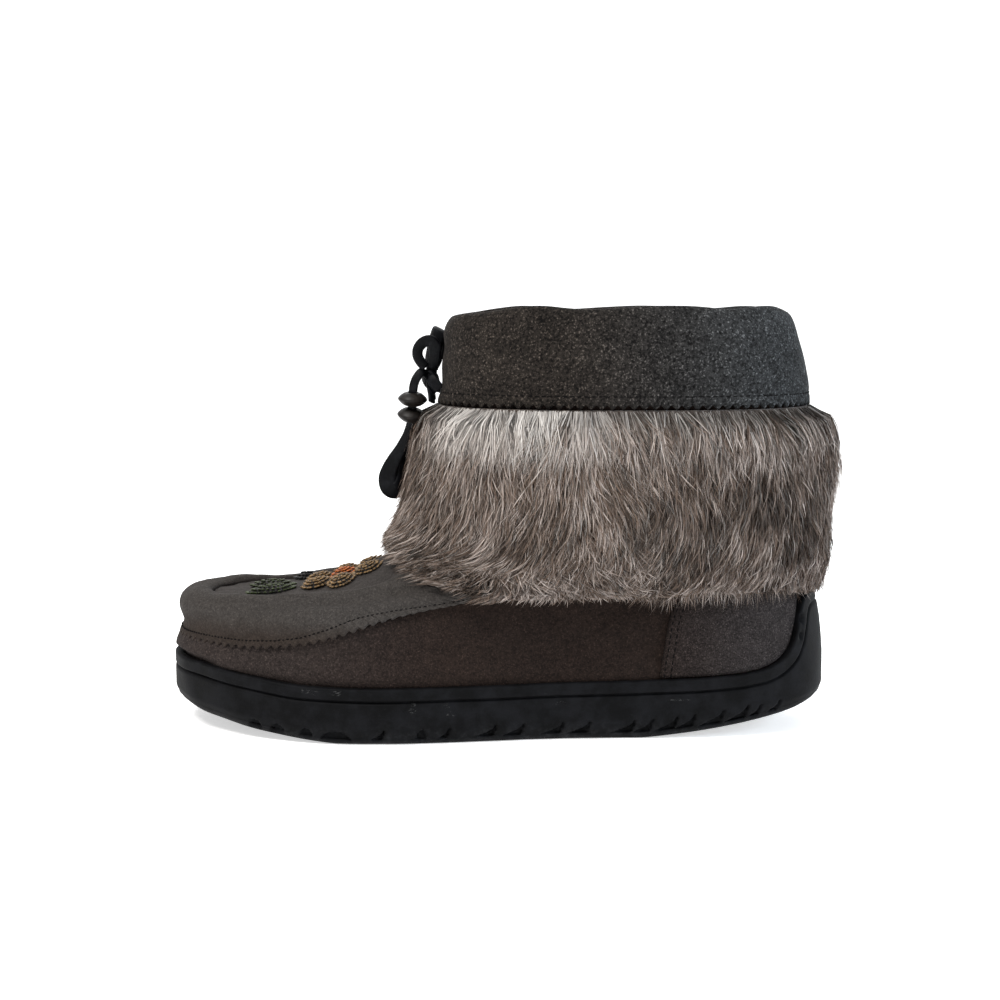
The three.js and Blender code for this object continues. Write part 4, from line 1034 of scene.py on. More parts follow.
def notch_mask(x, up):
    mask = np.zeros(x.shape)
    for tip, wide, lean_by, foot, high in NOTCHES:
        rise = np.clip((up - foot) / (high - foot), 0, 1)
        right = tip - (1 - rise) * 0.35 * wide * (1 - abs(lean_by) * 0.5)
        left = tip - wide * (1 - rise) ** 1.7
        if lean_by <= 0:
            right, left = tip + 0.5 * wide * (1 - rise) ** 0.5, tip - 0.5 * wide * (1 - rise) ** 0.5
        inside = smooth(-0.35, 0.35, x - left + 0.3) * smooth(-0.35, 0.35, right + 0.5 - x)
        level = smooth(foot - 0.35, foot + 0.35, up) * (1 - smooth(high - 0.2, high + 0.6, up))
        mask = np.maximum(mask, inside * level)
    return mask


def sole_row(q, reach, z, inset, worn):
    turn = back_round(q, reach)
    x = outline_at(turn)[..., 0]
    cut = NOTCH_DEPTH * notch_mask(x, z - bottom_at(x))
    deep = np.maximum(inset, cut)
    for place, height, wide, tall in SLOTS:
        near = (1 - smooth(0.6, 1.1, np.hypot((x - place) / wide, (z - height) / tall) * 1.6))
        deep = deep + SLOT_DEPTH * near * side_of(q)[0]
    row = plan_at(turn, z, deep)
    return row + worn(row)[:, None] * 0.12 * np.append(outline_normal(turn), np.zeros((len(q), 1)), 1)


def groove_depth(x, y):
    mask = np.zeros(x.shape)
    for middle in np.arange(GROOVE["first"], GROOVE["last"], GROOVE["pitch"]):
        if abs(middle - WAIST["x"]) < WAIST["reach"]:
            continue
        for side in (-1, 1):
            dx = x - middle - 4
            dy = y - TOE_TIP_Y * smooth(-40, -120, middle) - side * 12
            c, s = math.cos(side * GROOVE["angle"]), math.sin(side * GROOVE["angle"])
            across, along = np.abs(c * dx + s * dy), np.abs(c * dy - s * dx)
            half, long = GROOVE["width"] / 2, GROOVE["length"] / 2
            cut = (1 - smooth(half - 0.4, half + 0.4, across)) * (1 - smooth(long - 0.4, long + 0.4, along))
            mask = np.maximum(mask, cut)
    return mask * GROOVE["depth"]


# Rungs from the outer side of a ring to its inner side, as a grid of points
def rungs(ring, columns):
    half = len(ring) // 2
    outer = ring[:half + 1]
    inner = ring[(len(ring) - np.arange(half + 1)) % len(ring)]
    share = np.linspace(0, 1, columns)[None, :, None]
    return outer[:, None] + (inner - outer)[:, None] * share


def grid_part(grid, flip=False):
    faces = grid_faces(*grid.shape[:2])
    return grid.reshape(-1, 3), faces[:, ::-1] if flip else faces


def build_outsole():
    q = np.arange(SOLE_COLUMNS) * 2 / SOLE_COLUMNS
    worn = Ripple(SEED, 17)
    x = outline_at(q)[:, 0]
    reach = side_of(q)[1] * side_of(q)[2]
    ends = 1 + 0.5 * (smooth(60, 125, x) + smooth(-60, -130, x))
    bottom = bottom_at(x)
    edge, down = rim_edge(q)
    rows = []
    for inset, lift in FOOT_PROFILE:
        rows.append(sole_row(q, reach, bottom + lift * ends, inset * ends, worn))
    for lift in NOTCH_ROWS:
        ease = 0.7 * (1 - smooth(2.6, 6, lift))
        rows.append(sole_row(q, reach, bottom + lift + 0.4 * (ends - 1), ease * ends, worn))
    low = np.stack([reach, bottom + 8.8], -1)
    high = edge + down * 7.6
    for share in np.linspace(0, 1, 7):
        at = mix(low, high, share)
        rows.append(sole_row(q, *at.T, np.zeros(len(q)), worn))
    for below, inset in RIM_PROFILE:
        at = edge + down * below
        rows.append(sole_row(q, *at.T, np.full(len(q), inset), worn))
    floor = floor_at(outline_at(q)[:, 0])
    for share in (0.3, 0.65, 1.0):
        rows.append(plan_at(q, mix(edge[:, 1] - 0.6, floor, share), np.full(len(q), CUP_WALL)))
    wall = np.array(rows)
    around = grid_faces(len(rows), SOLE_COLUMNS, wrap_cols=True)
    tread = rungs(wall[0], TREAD_COLUMNS)
    cut = groove_depth(tread[..., 0], tread[..., 1])
    tread[:, 1:-1, 2] = bottom_at(tread[:, 1:-1, 0]) + cut[:, 1:-1]
    inside = rungs(wall[-1], 12)
    parts = [(wall.reshape(-1, 3), around), grid_part(tread), grid_part(inside, flip=True)]
    material = rubber("sole_rubber", paint("rubber"))
    settle(piece_of("outsole_cup", *joined(parts), material, weld=True), "rubber", "outsole")


# Upper
# Soft creases on the quarters: x, z, how far along and across, turn in degrees, height
CREASES = (
    (-6, 46, 26, 3.2, 14, -0.55), (14, 40, 30, 4.0, -8, 0.5), (38, 50, 22, 3.5, 10, -0.5),
    (30, 33, 34, 3.0, 4, -0.35), (52, 42, 14, 4.5, 70, 0.4), (-34, 34, 24, 3.2, 8, -0.4),
    (-62, 31, 28, 2.6, 5, -0.4), (-96, 32, 24, 2.4, -3, 0.35), (58, 33, 16, 3.0, -30, -0.35),
)


# The lasted suede bulges out over the rim's flat top
RIM_LEDGE = 2.3


def creased(points):
    lift = np.zeros(points.shape[:-1])
    for x, z, long, wide, turn, height in CREASES:
        c, s = math.cos(math.radians(turn)), math.sin(math.radians(turn))
        dx, dz = points[..., 0] - x, points[..., 2] - z
        along, across = (c * dx + s * dz) / long, (c * dz - s * dx) / wide
        lift = lift + height * np.exp(-along ** 2 - across ** 2)
    return lift


def build_upper():
    columns = 380
    q = np.arange(columns) * 2 / columns
    slack = Ripple(SEED + 1, 34)
    fine = Ripple(SEED + 2, 9)
    outer_t = np.concatenate([
        np.linspace(0, 16, 6), np.linspace(17, 36, 34), np.linspace(37.2, 75, 32),
        np.linspace(78, TOP_T, 16)])
    rows = []
    for t in outer_t:
        skin = FORM.point(q, t)
        lift = (creased(skin) + 0.3 * slack(skin) + 0.09 * fine(skin)) * smooth(22, 30, skin[:, 2])
        lift = lift * 0.8 - 0.2
        above = skin[:, 2] - rim_top(skin[:, 0])
        toe = smooth(-95, -128, skin[:, 0])
        ledge = smooth(0.1, 1.0, above / (1.6 + 1.0 * toe)) * np.exp(-(np.maximum(0, above - 1.6) / 6.5) ** 2)
        ledge = RIM_LEDGE * ledge * (1 - smooth(50, 72, skin[:, 0])) * (1 + 0.75 * toe)
        rows.append(FORM.off(q, t, lift + ledge))
    for t in np.linspace(TOP_T, 0, 16):
        rows.append(FORM.off(q, t, -WALL + 0.3))
    points, faces = loft(rows, wrap_cols=True)
    # Painted light: the quarter suede is made lighter towards the toe, where more light falls on the front
    skin = suede("quarter_suede", paint("suede"), 0.3, 0.9, 0.5, low=paint("suede_toe_lit"), across=(0, -95, -15))
    settle(piece_of("upper_shell", points, faces, skin), "suede", "upper")


# Vamp wrap: from a pinked edge to a soft roll round the plug
WRAP_EDGE = (
    (-136, 36.2), (-104, 36.5), (-91, 37.5), (-79, 39.4), (-67, 42.6), (-44, 50.3), (-22, 57.2), (0, 64),
)
WRAP_BACK = -18
WRAP_COLUMNS = 620
PLUG = ((-117, 11, 19), (-109, 19, 28), (-96, 26, 33), (-80, 30, 34), (-62, 30, 31), (-38, 27, 27))
PLUG_FRONT = (-121, 4)
PLUG_THICKNESS = 1.2
ROLL = {"width": 9.0, "toe_width": 15.5, "height": 4.4}
STITCH_IN = 2.5
PINK = {"pitch": 4.1, "depth": 1.35}


def plug_sides():
    knots = [PLUG_FRONT] + [(x, -o) for x, o, _ in PLUG] + [(x, i) for x, _, i in PLUG][::-1]
    share = np.linspace(0, 6 / 13, 200)
    return Ruler(spline(knots, share, closed=True)), Ruler(spline(knots, 1 - share, closed=True))


PLUG_OUTER, PLUG_INNER = plug_sides()


# The form's own q and t under a point of the plan, on top of the toe
def over_toe(flat):
    flat = np.asarray(flat, float)
    shape = flat.shape[:-1]
    want = flat.reshape(-1, 2)
    q, t = np.meshgrid(np.linspace(-0.55, 0.55, 111), np.linspace(FORM.knots[4], FORM.knots[12], 60))
    q, t = q.ravel(), t.ravel()
    near = FORM.point(q, t)[:, :2]
    pick = np.array([np.argmin(((near - w) ** 2).sum(axis=1)) for w in want])
    q, t = q[pick], t[pick]
    for _ in range(8):
        here = FORM.point(q, t)[:, :2]
        dq = (FORM.point(q + 0.002, t)[:, :2] - here) / 0.002
        dt = (FORM.point(q, t + 0.2)[:, :2] - here) / 0.2
        miss = want - here
        det = dq[:, 0] * dt[:, 1] - dq[:, 1] * dt[:, 0]
        det = np.where(np.abs(det) < 1e-3, 1e-3, det)
        q = q + np.clip((miss[:, 0] * dt[:, 1] - miss[:, 1] * dt[:, 0]) / det, -0.03, 0.03)
        t = t + np.clip((dq[:, 0] * miss[:, 1] - dq[:, 1] * miss[:, 0]) / det, -3, 3)
    return q.reshape(shape), t.reshape(shape)


def share_at_x(x, outer):
    share = np.linspace(0, 1, 801)
    return np.interp(x, outline_at(share if outer else 2 - share)[:, 0], share)


# Teeth of a pinked edge: 0 at the notch, 1 at the tip
def teeth(distance):
    wave = np.abs((distance / PINK["pitch"]) % 1 * 2 - 1)
    return smooth(0.05, 0.95, wave)


# The wrap's lower edge and the plug's edge, as q and t of the form, and the length along the first
def wrap_lines():
    s = np.linspace(-1, 1, WRAP_COLUMNS)
    outer = s < 0
    far = np.abs(s)
    q = np.where(outer, far * share_at_x(WRAP_BACK, True), -far * share_at_x(WRAP_BACK, False))
    flat = outline_at(q)
    t = FORM.t_at(q, table_at(WRAP_EDGE, flat[:, 0]))
    inner_flat = np.where(outer[:, None], PLUG_OUTER(far), PLUG_INNER(far))
    q1, t1 = over_toe(inner_flat)
    low = FORM.point(q, t)
    reach = np.concatenate([[0], np.cumsum(np.linalg.norm(np.diff(low, axis=0), axis=1))])
    return q, t, q1, t1, reach


def wrap_point(lines, v, off):
    q, t, q1, t1, _ = lines
    return FORM.off(mix(q, q1, v), mix(t, t1, v), off)


def build_wrap():
    straight = wrap_lines()
    q, edge_t, q1, t1, reach = straight
    tooth = teeth(reach) * PINK["depth"]
    pinked = (q, edge_t - tooth + PINK["depth"] / 2, q1, t1, reach)
    steps = [wrap_point(pinked, v, 0) for v in np.linspace(0, 1, 9)]
    span = sum(np.linalg.norm(b - a, axis=1) for a, b in zip(steps, steps[1:]))
    slack = Ripple(SEED + 3, 21)
    fine = Ripple(SEED + 4, 6)
    along = np.linspace(-1, 1, WRAP_COLUMNS)
    half = mix(ROLL["toe_width"], ROLL["width"], smooth(0.0, 0.36, np.abs(along))) / 2
    # The roll lies lower on the inner side of the toe
    flat_top = 1 - 0.85 * (along > 0) * np.exp(-((outline_at(q)[:, 0] + 92) / 20) ** 2)
    rows = [wrap_point(pinked, v, SHEET_OVER) for v in (1.0, 0.6, 0.3, 0.06, 0.0)]
    rows.append(wrap_point(pinked, 0.0, SHEET_OVER + 0.8))
    whole = 30
    for k in range(whole + 1):
        v = (k / whole) ** 1.15
        from_edge, to_roll = v * span, (1 - v) * span
        hold = smooth(0, 0.4, from_edge)
        to_seam = from_edge - STITCH_IN - tooth + PINK["depth"] / 2
        seam = np.exp(-(to_seam / 0.75) ** 2)
        puff = smooth(0.8, 5, to_seam)
        crest = np.where(to_roll < half, np.sqrt(np.clip(1 - (to_roll / half - 1) ** 2, 0, 1)),
                         smooth(2.35 * half, half, to_roll))
        off = SHEET_OVER + 1.15 + 0.2 * hold + 0.75 * puff - 0.5 * seam
        valley = 0.9 * np.exp(-((to_roll - 2.2 * half - 2.4) / 3) ** 2)
        off = off + (ROLL["height"] - 1.9) * crest * flat_top - valley
        skin = wrap_point(pinked, v, 0)
        off = off + (0.22 * slack(skin) + 0.07 * fine(skin)) * smooth(3, 8, from_edge)
        rows.append(wrap_point(pinked, v, off))
    rows.append(wrap_point(pinked, 1.0, PLUG_THICKNESS + 0.4))
    points, faces = loft(rows, wrap_cols=False)
    # Painted light: the wrap is one suede, its roll's top painted lighter and greyer where light falls from
    # above, its lower sheet darker in less light
    skin = suede("wrap_suede", paint("roll"), 0.15, 0.9, 0.3, low=paint("wrap_low_shade"))
    settle(piece_of("vamp_wrap_sheet", points, faces, skin), "suede", "vamp_wrap")
    # The stitch row above the teeth
    v = STITCH_IN / span
    line = wrap_point(straight, v, SHEET_OVER + 0.9)
    normals = FORM.normal(mix(q, q1, v), mix(edge_t, t1, v))
    runs = [(line[::2], normals[::2])]
    settle(stitch_rows("vamp_wrap_stitches", runs, dark_thread(), 1.9, 1.4, 0.6), "suede")


def dark_thread():
    made = bpy.data.materials.get("stitch_thread")
    return made or thread("stitch_thread", paint("thread"))


def build_plug():
    around, rings = 150, 20
    s = np.linspace(-1, 1, around, endpoint=False)
    edge = np.where((s < 0)[:, None], PLUG_OUTER(np.abs(s)), PLUG_INNER(np.abs(s)))
    back = np.linspace(0, 1, 26)[1:-1, None]
    edge = np.vstack([edge, PLUG_INNER(1.0) * (1 - back) + PLUG_OUTER(1.0) * back])
    centre = np.array([-70.0, 1.5])
    share = np.linspace(0, 1, rings)[::-1, None, None]
    flat = centre + (edge - centre)[None] * np.maximum(share, 0.004) * 0.985
    q, t = over_toe(flat)
    skin = FORM.point(q, t)
    pull = np.sin(np.arange(flat.shape[1]) * 2 * np.pi / 5.0) * smooth(0.72, 1.0, share[..., 0]) * 0.16
    lift = Ripple(SEED + 5, 15)(skin) * 0.14 + pull
    top = FORM.off(q, t, SHEET_OVER + PLUG_THICKNESS + lift - 0.25 * smooth(0.9, 1, share[..., 0]))
    under = FORM.off(q[[0, -1]], t[[0, -1]], np.full(flat.shape[1], SHEET_OVER))
    rows = [*top, under[1], under[0]]
    points, faces = loft(rows, wrap_cols=True)
    skin = suede("plug_suede", paint("plug"), 0.15, 0.9, 0.3)
    settle(piece_of("toe_plug_sheet", points, faces, skin), "plug_suede", "toe_plug")


# Heel counter: an overlay behind a step edge, with two rows of stitches along it
COUNTER = {
    "top": 62.0, "length": 250, "seams": (2.3, 5.9), "edge": ((20, 63.4), (27, 64.2), (50, 67.0), (64, 68.6)),
}


# Height of the counter at a share v of it, from just over the rim
def counter_height(q, v):
    low = rim_top(outline_at(q)[..., 0]) + 0.5
    return mix(low, np.maximum(COUNTER["top"], low + 2), v)


# A point of the counter: c runs round the heel from the outer step edge to the inner one
def counter_point(c, v, off):
    c, v = np.broadcast_arrays(np.asarray(c, float), np.asarray(v, float))
    z = counter_height(mix(share_at_x(66, True), 2 - share_at_x(66, False), c), v)
    outer = np.linspace(0.5, 1.0, 201)
    edges = []
    for turn in (outer, 2 - outer):
        xs = FORM.point(turn, FORM.t_at(turn, 45.0))[:, 0]
        edges.append(np.interp(table_at(COUNTER["edge"], z), xs, turn))
    q = mix(*edges, c)
    z = counter_height(q, v)
    return FORM.off(q, FORM.t_at(q, z), off), q, z


def build_counter():
    c = np.linspace(0, 1, 260)
    edge = np.minimum(c, 1 - c) * COUNTER["length"]
    rows = [counter_point(c, v, SHEET_OVER)[0] for v in (1, 0.5, 0)]
    slack = Ripple(SEED + 6, 24)
    for v in np.linspace(0, 1, 26):
        skin = counter_point(c, v, 0)[0]
        rounded = smooth(-0.4, 0.9, edge)
        dip = sum(0.22 * np.exp(-((edge - seam) / 0.6) ** 2) for seam in COUNTER["seams"])
        off = SHEET_OVER + 0.35 + 0.95 * rounded - dip + 0.15 * slack(skin) * smooth(4, 14, edge)
        rows.append(counter_point(c, v, off)[0])
    points, faces = loft(rows, wrap_cols=False)
    # Painted light: towards the heel the counter is made lighter and cooler, where the side light falls;
    # towards the front it is the quarter suede
    skin = suede("counter_suede", paint("counter"), 0.5, 0.75, 0.65, low=paint("suede"), across=(0, 50, 112))
    settle(piece_of("heel_counter_sheet", points, faces, skin), "suede", "heel_counter")
    runs = []
    for side in (0, 1):
        for away in COUNTER["seams"]:
            at = abs(side - away / COUNTER["length"])
            line, q, z = counter_point(np.full(40, at), np.linspace(0.02, 1, 40), SHEET_OVER + 1.12)
            runs.append((line, FORM.normal(q, FORM.t_at(q, z))))
    settle(stitch_rows("heel_counter_stitches", runs, dark_thread(), 2.6, 1.8, 0.6), "suede")


# Folded collar
COLLAR = {
    "hem": 132.3, "tooth": 4.2, "depth": 1.6, "seam": 4.9, "middle": 150, "roll": 4.4, "inside": 5.4,
    "clear": GAP + 0.1,
}
# The waving top edge: x, z
COLLAR_CREST = (
    (-24, 168.2), (-16, 169.4), (-11, 169.6), (-0.5, 171.3), (8, 172.4), (14, 172.5), (22.8, 171.4),
    (31, 171.0), (46, 172.1), (55, 172.5), (68, 172.4), (81, 171.1), (86, 171.4), (97, 172.5),
    (105, 172.2), (112, 170.8), (118, 169.6),
)


def ring_top(q):
    z_front, z_side, z_back = RINGS[-1][:3]
    c = np.cos(np.pi * q)
    return z_side + np.abs(c) * (np.where(c > 0, z_front, z_back) - z_side)


def crest_at(q):
    x = outline_at(q)[..., 0] * 0.52 + 48
    return np.mean([table_at(COLLAR_CREST, x + d) for d in np.linspace(-4, 4, 9)], axis=0)


def around_at(q, z, off):
    return FORM.off(q, FORM.t_at(q, z), off)


def build_collar():
    columns = 640
    q = np.arange(columns) * 2 / columns
    top, crest = ring_top(q), crest_at(q)
    flat = np.full(columns, 1.0)
    hem_line = around_at(q, 133 * flat, 3)
    round_it = np.concatenate([[0], np.cumsum(np.linalg.norm(np.diff(hem_line, axis=0), axis=1))])
    whole = round_it[-1] + np.linalg.norm(hem_line[-1] - hem_line[0])
    tooth = teeth(round_it / whole * round(whole / COLLAR["tooth"]) * PINK["pitch"])
    hem = COLLAR["hem"] + COLLAR["depth"] * (1 - tooth)
    behind = smooth(0.84, 0.97, side_of(q)[1])
    slack = Ripple(SEED + 7, 46)
    fine = Ripple(SEED + 8, 13)
    rows = [around_at(q, hem + 0.35, COLLAR["clear"]), around_at(q, hem, COLLAR["clear"] + 0.35)]
    rows += [around_at(q, hem, 1.75), around_at(q, hem + 0.35, 2.05)]
    for share in np.linspace(0, 1, 25):
        z = mix(COLLAR["hem"] + 2.4, top - 2.5, share)
        skin = around_at(q, z, 3)
        row_dip = 0.4 * np.exp(-((z - COLLAR["hem"] - 5.0) / 0.7) ** 2)
        puff = 2.1 + 1.0 * smooth(COLLAR["hem"] + 4, COLLAR["hem"] + 17, z)
        lift = (0.32 * slack(skin) + 0.1 * fine(skin)) * smooth(COLLAR["hem"] + 3, COLLAR["hem"] + 12, z)
        ahead = smooth(0.14, 0.02, np.where(q <= 1, q, 2 - q))
        lift = lift - 1.7 * ahead * smooth(133, 142, z) * (1 - smooth(154, 163, z))
        lift = lift - 2.0 * behind * smooth(136, 158, z)
        rows.append(around_at(q, z, puff + lift - row_dip))
    for share in np.linspace(0.12, 1, 11):
        angle = math.pi * share
        z = mix(top - 2.5 if share < 0.5 else top - 1, crest, math.sin(angle))
        off = mix(3.1 - 2.0 * behind, -COLLAR["roll"], (1 - math.cos(angle)) / 2)
        rows.append(around_at(q, z, off + 0.1 * fine(around_at(q, z, 0))))
    rows.append(around_at(q, 158 * flat, -COLLAR["inside"] + 0.4))
    rows.append(around_at(q, COLLAR["middle"] * flat, -COLLAR["inside"]))
    rows.append(around_at(q, COLLAR["middle"] * flat, -WALL - COLLAR["clear"]))
    rows.append(around_at(q, top + 0.5, -WALL - COLLAR["clear"]))
    rows.append(around_at(q, top + 0.5, COLLAR["clear"]))
    points, faces = loft(rows, wrap_cols=True)
    front = paint("collar")
    # Painted light: the collar is one suede, made lighter and cooler towards the heel, where the cool side
    # light falls
    skin = suede("collar_suede", paint("collar_back_lit"), 0.9, 1.15, 0.95, low=front, across=(0, 20, 130))
    settle(piece_of("collar_fold", points, faces, skin), "suede", "collar_cuff")
    seam_q = np.append(q[::3], q[0])
    seam_z = COLLAR["hem"] + COLLAR["seam"]
    line = around_at(seam_q, seam_z, 1.9)
    normals = FORM.normal(seam_q, FORM.t_at(seam_q, seam_z))
    settle(stitch_rows("collar_stitches", [(line, normals)], dark_thread(), 2.8, 2.0, 0.5), "suede")


# Footbed and fleece lining
def build_lining():
    columns = 300
    q = np.arange(columns) * 2 / columns
    pile = Ripple(SEED + 9, 5.5, 12)
    tuft = Ripple(SEED + 10, 2.4, 12)
    crest = crest_at(q)
    high = [(crest - 1.2, -COLLAR["roll"] + 0.9), (crest - 2.2, -COLLAR["roll"] - 0.5),
            (crest - 6, -COLLAR["inside"] - 0.7), (np.full(columns, 154.0), -COLLAR["inside"] - 1.0)]
    rows = []
    for z, off in high:
        skin = around_at(q, z, off)
        rows.append(around_at(q, z, off - 0.35 * pile(skin) - 0.25 * tuft(skin)))
    for t in np.linspace(FORM.knots[15], 6, 60):
        skin = FORM.point(q, t)
        depth = -WALL - 1.6 - 0.4 * pile(skin) - 0.25 * tuft(skin)
        depth = np.where(t > FORM.knots[14], np.minimum(depth, -COLLAR["inside"] - 0.9), depth)
        rows.append(FORM.off(q, t, depth))
    rows += [FORM.off(q, t, -WALL - 0.15) for t in np.linspace(6, FORM.knots[15] - 4, 12)]
    rows += [around_at(q, z, off + 0.9) for z, off in high[::-1][:3]]
    points, faces = loft(rows, wrap_cols=True)
    fleece = plain_nap("fleece", paint("fleece"), 1.6, 0.9)
    settle(piece_of("fleece_lining", points, faces, fleece), "felt")


def build_footbed():
    count = 240
    q = np.arange(count) * 2 / count
    inset = 3.9 + WALL + 0.5
    pile = Ripple(SEED + 11, 6, 12)

    def ring(lift, extra):
        row = plan_at(q, 0, np.full(count, inset + extra))
        row[:, 2] = floor_at(row[:, 0]) + lift
        return row

    side = np.array([ring(GAP, 0.6), ring(GAP + 0.4, 0.1), ring(3.6, 0.0), ring(4.3, 0.5), ring(4.5, 1.4)])
    top = rungs(side[-1], 40)
    soft = np.zeros(top.shape[:2])
    soft[2:-2, 2:-2] = 1
    top[..., 2] += soft * (0.22 * pile(top) - 0.2)
    around = grid_faces(5, count, wrap_cols=True)
    parts = [(side.reshape(-1, 3), around), grid_part(top, flip=True), grid_part(rungs(side[0], 40))]
    felt = plain_nap("footbed_felt", paint("fleece"), 1.2, 0.5)
    settle(piece_of("footbed_felt", *joined(parts), felt, weld=True), "felt", "footbed")


# Fur: a dark pelt and tapered hairs in clumps, laid in the boot's own q, z and depth
FUR = {"top": 132.0, "depth": 10.3, "front_extra": 0.1, "back_extra": 1.3}
# The fur's lower edge: x, z
FUR_HEM = (
    (-56, 70), (-46, 66.5), (-36, 62), (-20, 59.6), (0, 59.6), (40, 60.2), (56, 59.4), (74, 61.4),
    (90, 64.4), (112, 66.4),
)
SEAM_X = 46.0
HAIR_STEPS = (0.0, 0.34, 0.7, 1.0)


def fur_depth(q):
    share = side_of(q)[1]
    extra = FUR["front_extra"] * smooth(0.3, 0.05, share) + FUR["back_extra"] * smooth(0.55, 0.95, share)
    return FUR["depth"] + extra


# The form, its facing, its pace in millimetres and the turn that makes a hair hang straight down
# in the side view, on a grid of q and t that is read by blending
class Skin:
    def __init__(self, step=1.0, columns=480):
        self.low, self.step, self.columns = FORM.knots[5], step, columns
        t = np.arange(self.low, FORM.t_at(0.5, 137.0), step)
        q = np.arange(columns) * 2 / columns
        grid_q, grid_t = np.meshgrid(q, t)
        self.place = FORM.point(grid_q, t[:, None])
        self.facing = FORM.normal(grid_q, grid_t)
        self.rows = len(t)
        up = np.linalg.norm(np.gradient(self.place, step, axis=0), axis=2)
        ahead = np.roll(self.place, -1, 1) - np.roll(self.place, 1, 1)
        round_it = np.linalg.norm(ahead, axis=2) * columns / 4
        self.pace = np.stack([round_it, up], -1)
        ahead *= np.where(q <= 1, 1, -1)[None, :, None] / np.linalg.norm(ahead, axis=2, keepdims=True)
        fall = -np.gradient(self.place, step, axis=0)
        fall /= np.linalg.norm(fall, axis=2, keepdims=True)
        aside = ahead[..., 0]
        self.slant = np.arctan2(-0.9 * fall[..., 0] * aside, aside ** 2 + 0.12)[..., None]

    def read(self, grid, q, t):
        at = (q % 2) / 2 * self.columns
        i = np.floor(at).astype(int) % self.columns
        j = (i + 1) % self.columns
        u = (at - np.floor(at))[..., None]
        up = np.clip((t - self.low) / self.step, 0, self.rows - 1.001)
        r = np.floor(up).astype(int)
        v = (up - r)[..., None]
        low = mix(grid[r, i], grid[r, j], u)
        high = mix(grid[r + 1, i], grid[r + 1, j], u)
        return mix(low, high, v)

    def off(self, q, t, off):
        facing = self.read(self.facing, q, t)
        facing /= np.linalg.norm(facing, axis=-1, keepdims=True)
        return self.read(self.place, q, t) + facing * off[..., None]


# The hem and the top edge of the fur as t, round the boot
def fur_edges(q):
    x = FORM.point(q, FORM.t_at(q, 62.0))[..., 0]
    return FORM.t_at(q, table_at(FUR_HEM, x)), FORM.t_at(q, FUR["top"])


# How the coat lies: degrees from straight down, towards the heel where positive
def lie_at(x):
    front = -22 * (1 - smooth(-45, 10, x))
    seam = 20 * np.exp(-((x - SEAM_X + 4) / 14) ** 2)
    rear = 3 * smooth(60, 110, x)
    return front + seam + rear


# Centres that hairs gather to, and locks of one tone
CLUMPS = 5200
LOCKS = 26000


def build_fur():
    sizes = bpy.context.scene.boot_sizes
    rng = np.random.default_rng(SEED + 20)
    skin = Skin()
    pelt(skin)
    count = int(sizes.hairs)
    ring = np.linspace(0, 2, 481)
    hem_ring, top_ring = fur_edges(ring)
    q = np.sort(rng.uniform(0, 2, count))
    hem, top = np.interp(q, ring, hem_ring), np.interp(q, ring, top_ring)
    front = smooth(0.16, 0.03, side_of(q)[1])
    up = rng.uniform(0, 1, count) ** 0.92
    crowd = rng.uniform(0, 1, count) < 0.10
    up = np.where(crowd, 1 - rng.uniform(0, 0.035, count), up)
    t = mix(hem + 4.2, top - 0.2, up)
    outer = side_of(q)[0]
    root = skin.off(q, t, np.full(count, 3.0))
    clump_q = rng.uniform(0, 2, CLUMPS)
    clump_low, clump_high = np.interp(clump_q, ring, hem_ring), np.interp(clump_q, ring, top_ring)
    clump_t = mix(clump_low, clump_high, rng.uniform(0, 1, CLUMPS))
    nearest = nearest_of(skin.off(clump_q, clump_t, np.full(CLUMPS, 3.0)), root)
    length = sizes.hair_length / MM * rng.uniform(0.68, 1.2, count)
    length = length * mix(0.5 - 0.1 * front, 1.0, smooth(hem, hem + 13 + 5 * front, t))
    lie = lie_at(root[:, 0]) + 6 * Ripple(SEED + 21, 26)(root) + rng.normal(0, 6, count)
    lie = np.radians(lie + rng.normal(0, 9, CLUMPS)[nearest]) + skin.read(skin.slant, q, t)[:, 0]
    stray = rng.uniform(0, 1, count) < 0.04
    sense = np.where(outer, 1.0, -1.0)
    depth = fur_depth(q) * rng.uniform(0.72, 1.03, count) + 1.2 * rng.uniform(-1, 1, CLUMPS)[nearest]
    depth = depth + 2.6 * smooth(0.8, 0.96, side_of(q)[1]) * np.exp(-((root[:, 2] - 121) / 9) ** 2)
    depth = np.where(stray, depth + rng.uniform(0.4, 2.2, count), depth)
    width = sizes.hair_width / MM * rng.uniform(0.6, 1.25, count)
    bend = rng.normal(0, 0.16, count)
    pull_q = (clump_q[nearest] - q + 1) % 2 - 1
    pull_t = clump_t[nearest] - t
    pull = rng.uniform(0.2, 0.7, count)
    at_q, at_t = q.copy(), t.copy()
    lines = []
    before = 0.0
    for share in HAIR_STEPS:
        go = (share - before) * length
        before = share
        pace = skin.read(skin.pace, at_q, at_t)
        swing = lie + bend * share
        at_q = at_q + sense * go * np.sin(swing) / pace[:, 0]
        at_t = at_t - go * np.cos(swing) / pace[:, 1]
        gather = pull * share ** 1.4
        off = mix(2.4, depth, 1 - (1 - share) ** (2.1 + 1.5 * smooth(top - 9, top, t)))
        sink = smooth(top + 1.0, top - 3.5, at_t)
        off = mix(np.minimum(off, 3.6), off, sink) - 1.8 * smooth(hem + 5, hem - 5, at_t)
        lines.append(skin.off(at_q + pull_q * gather, at_t + pull_t * gather * 0.25, off))
    lines = np.stack(lines, 1)
    tone, pale = fur_tones(root, nearest, rng)
    hairs(lines, width, tone, pale, rng)


def nearest_of(centres, points):
    tree = KDTree(len(centres))
    for i, place in enumerate(centres):
        tree.insert(place, i)
    tree.balance()
    return np.array([tree.find(p)[1] for p in points])


# Painted shadow: darker patches of the coat where shade falls: x, z, width, height, how dark
SHADOW_PATCHES = (
    (8, 96, 9, 12, 0.20), (SEAM_X + 2, 104, 8, 18, 0.31), (-30, 84, 10, 10, 0.08), (78, 92, 14, 9, 0.12),
    (92, 112, 10, 10, 0.12),
)
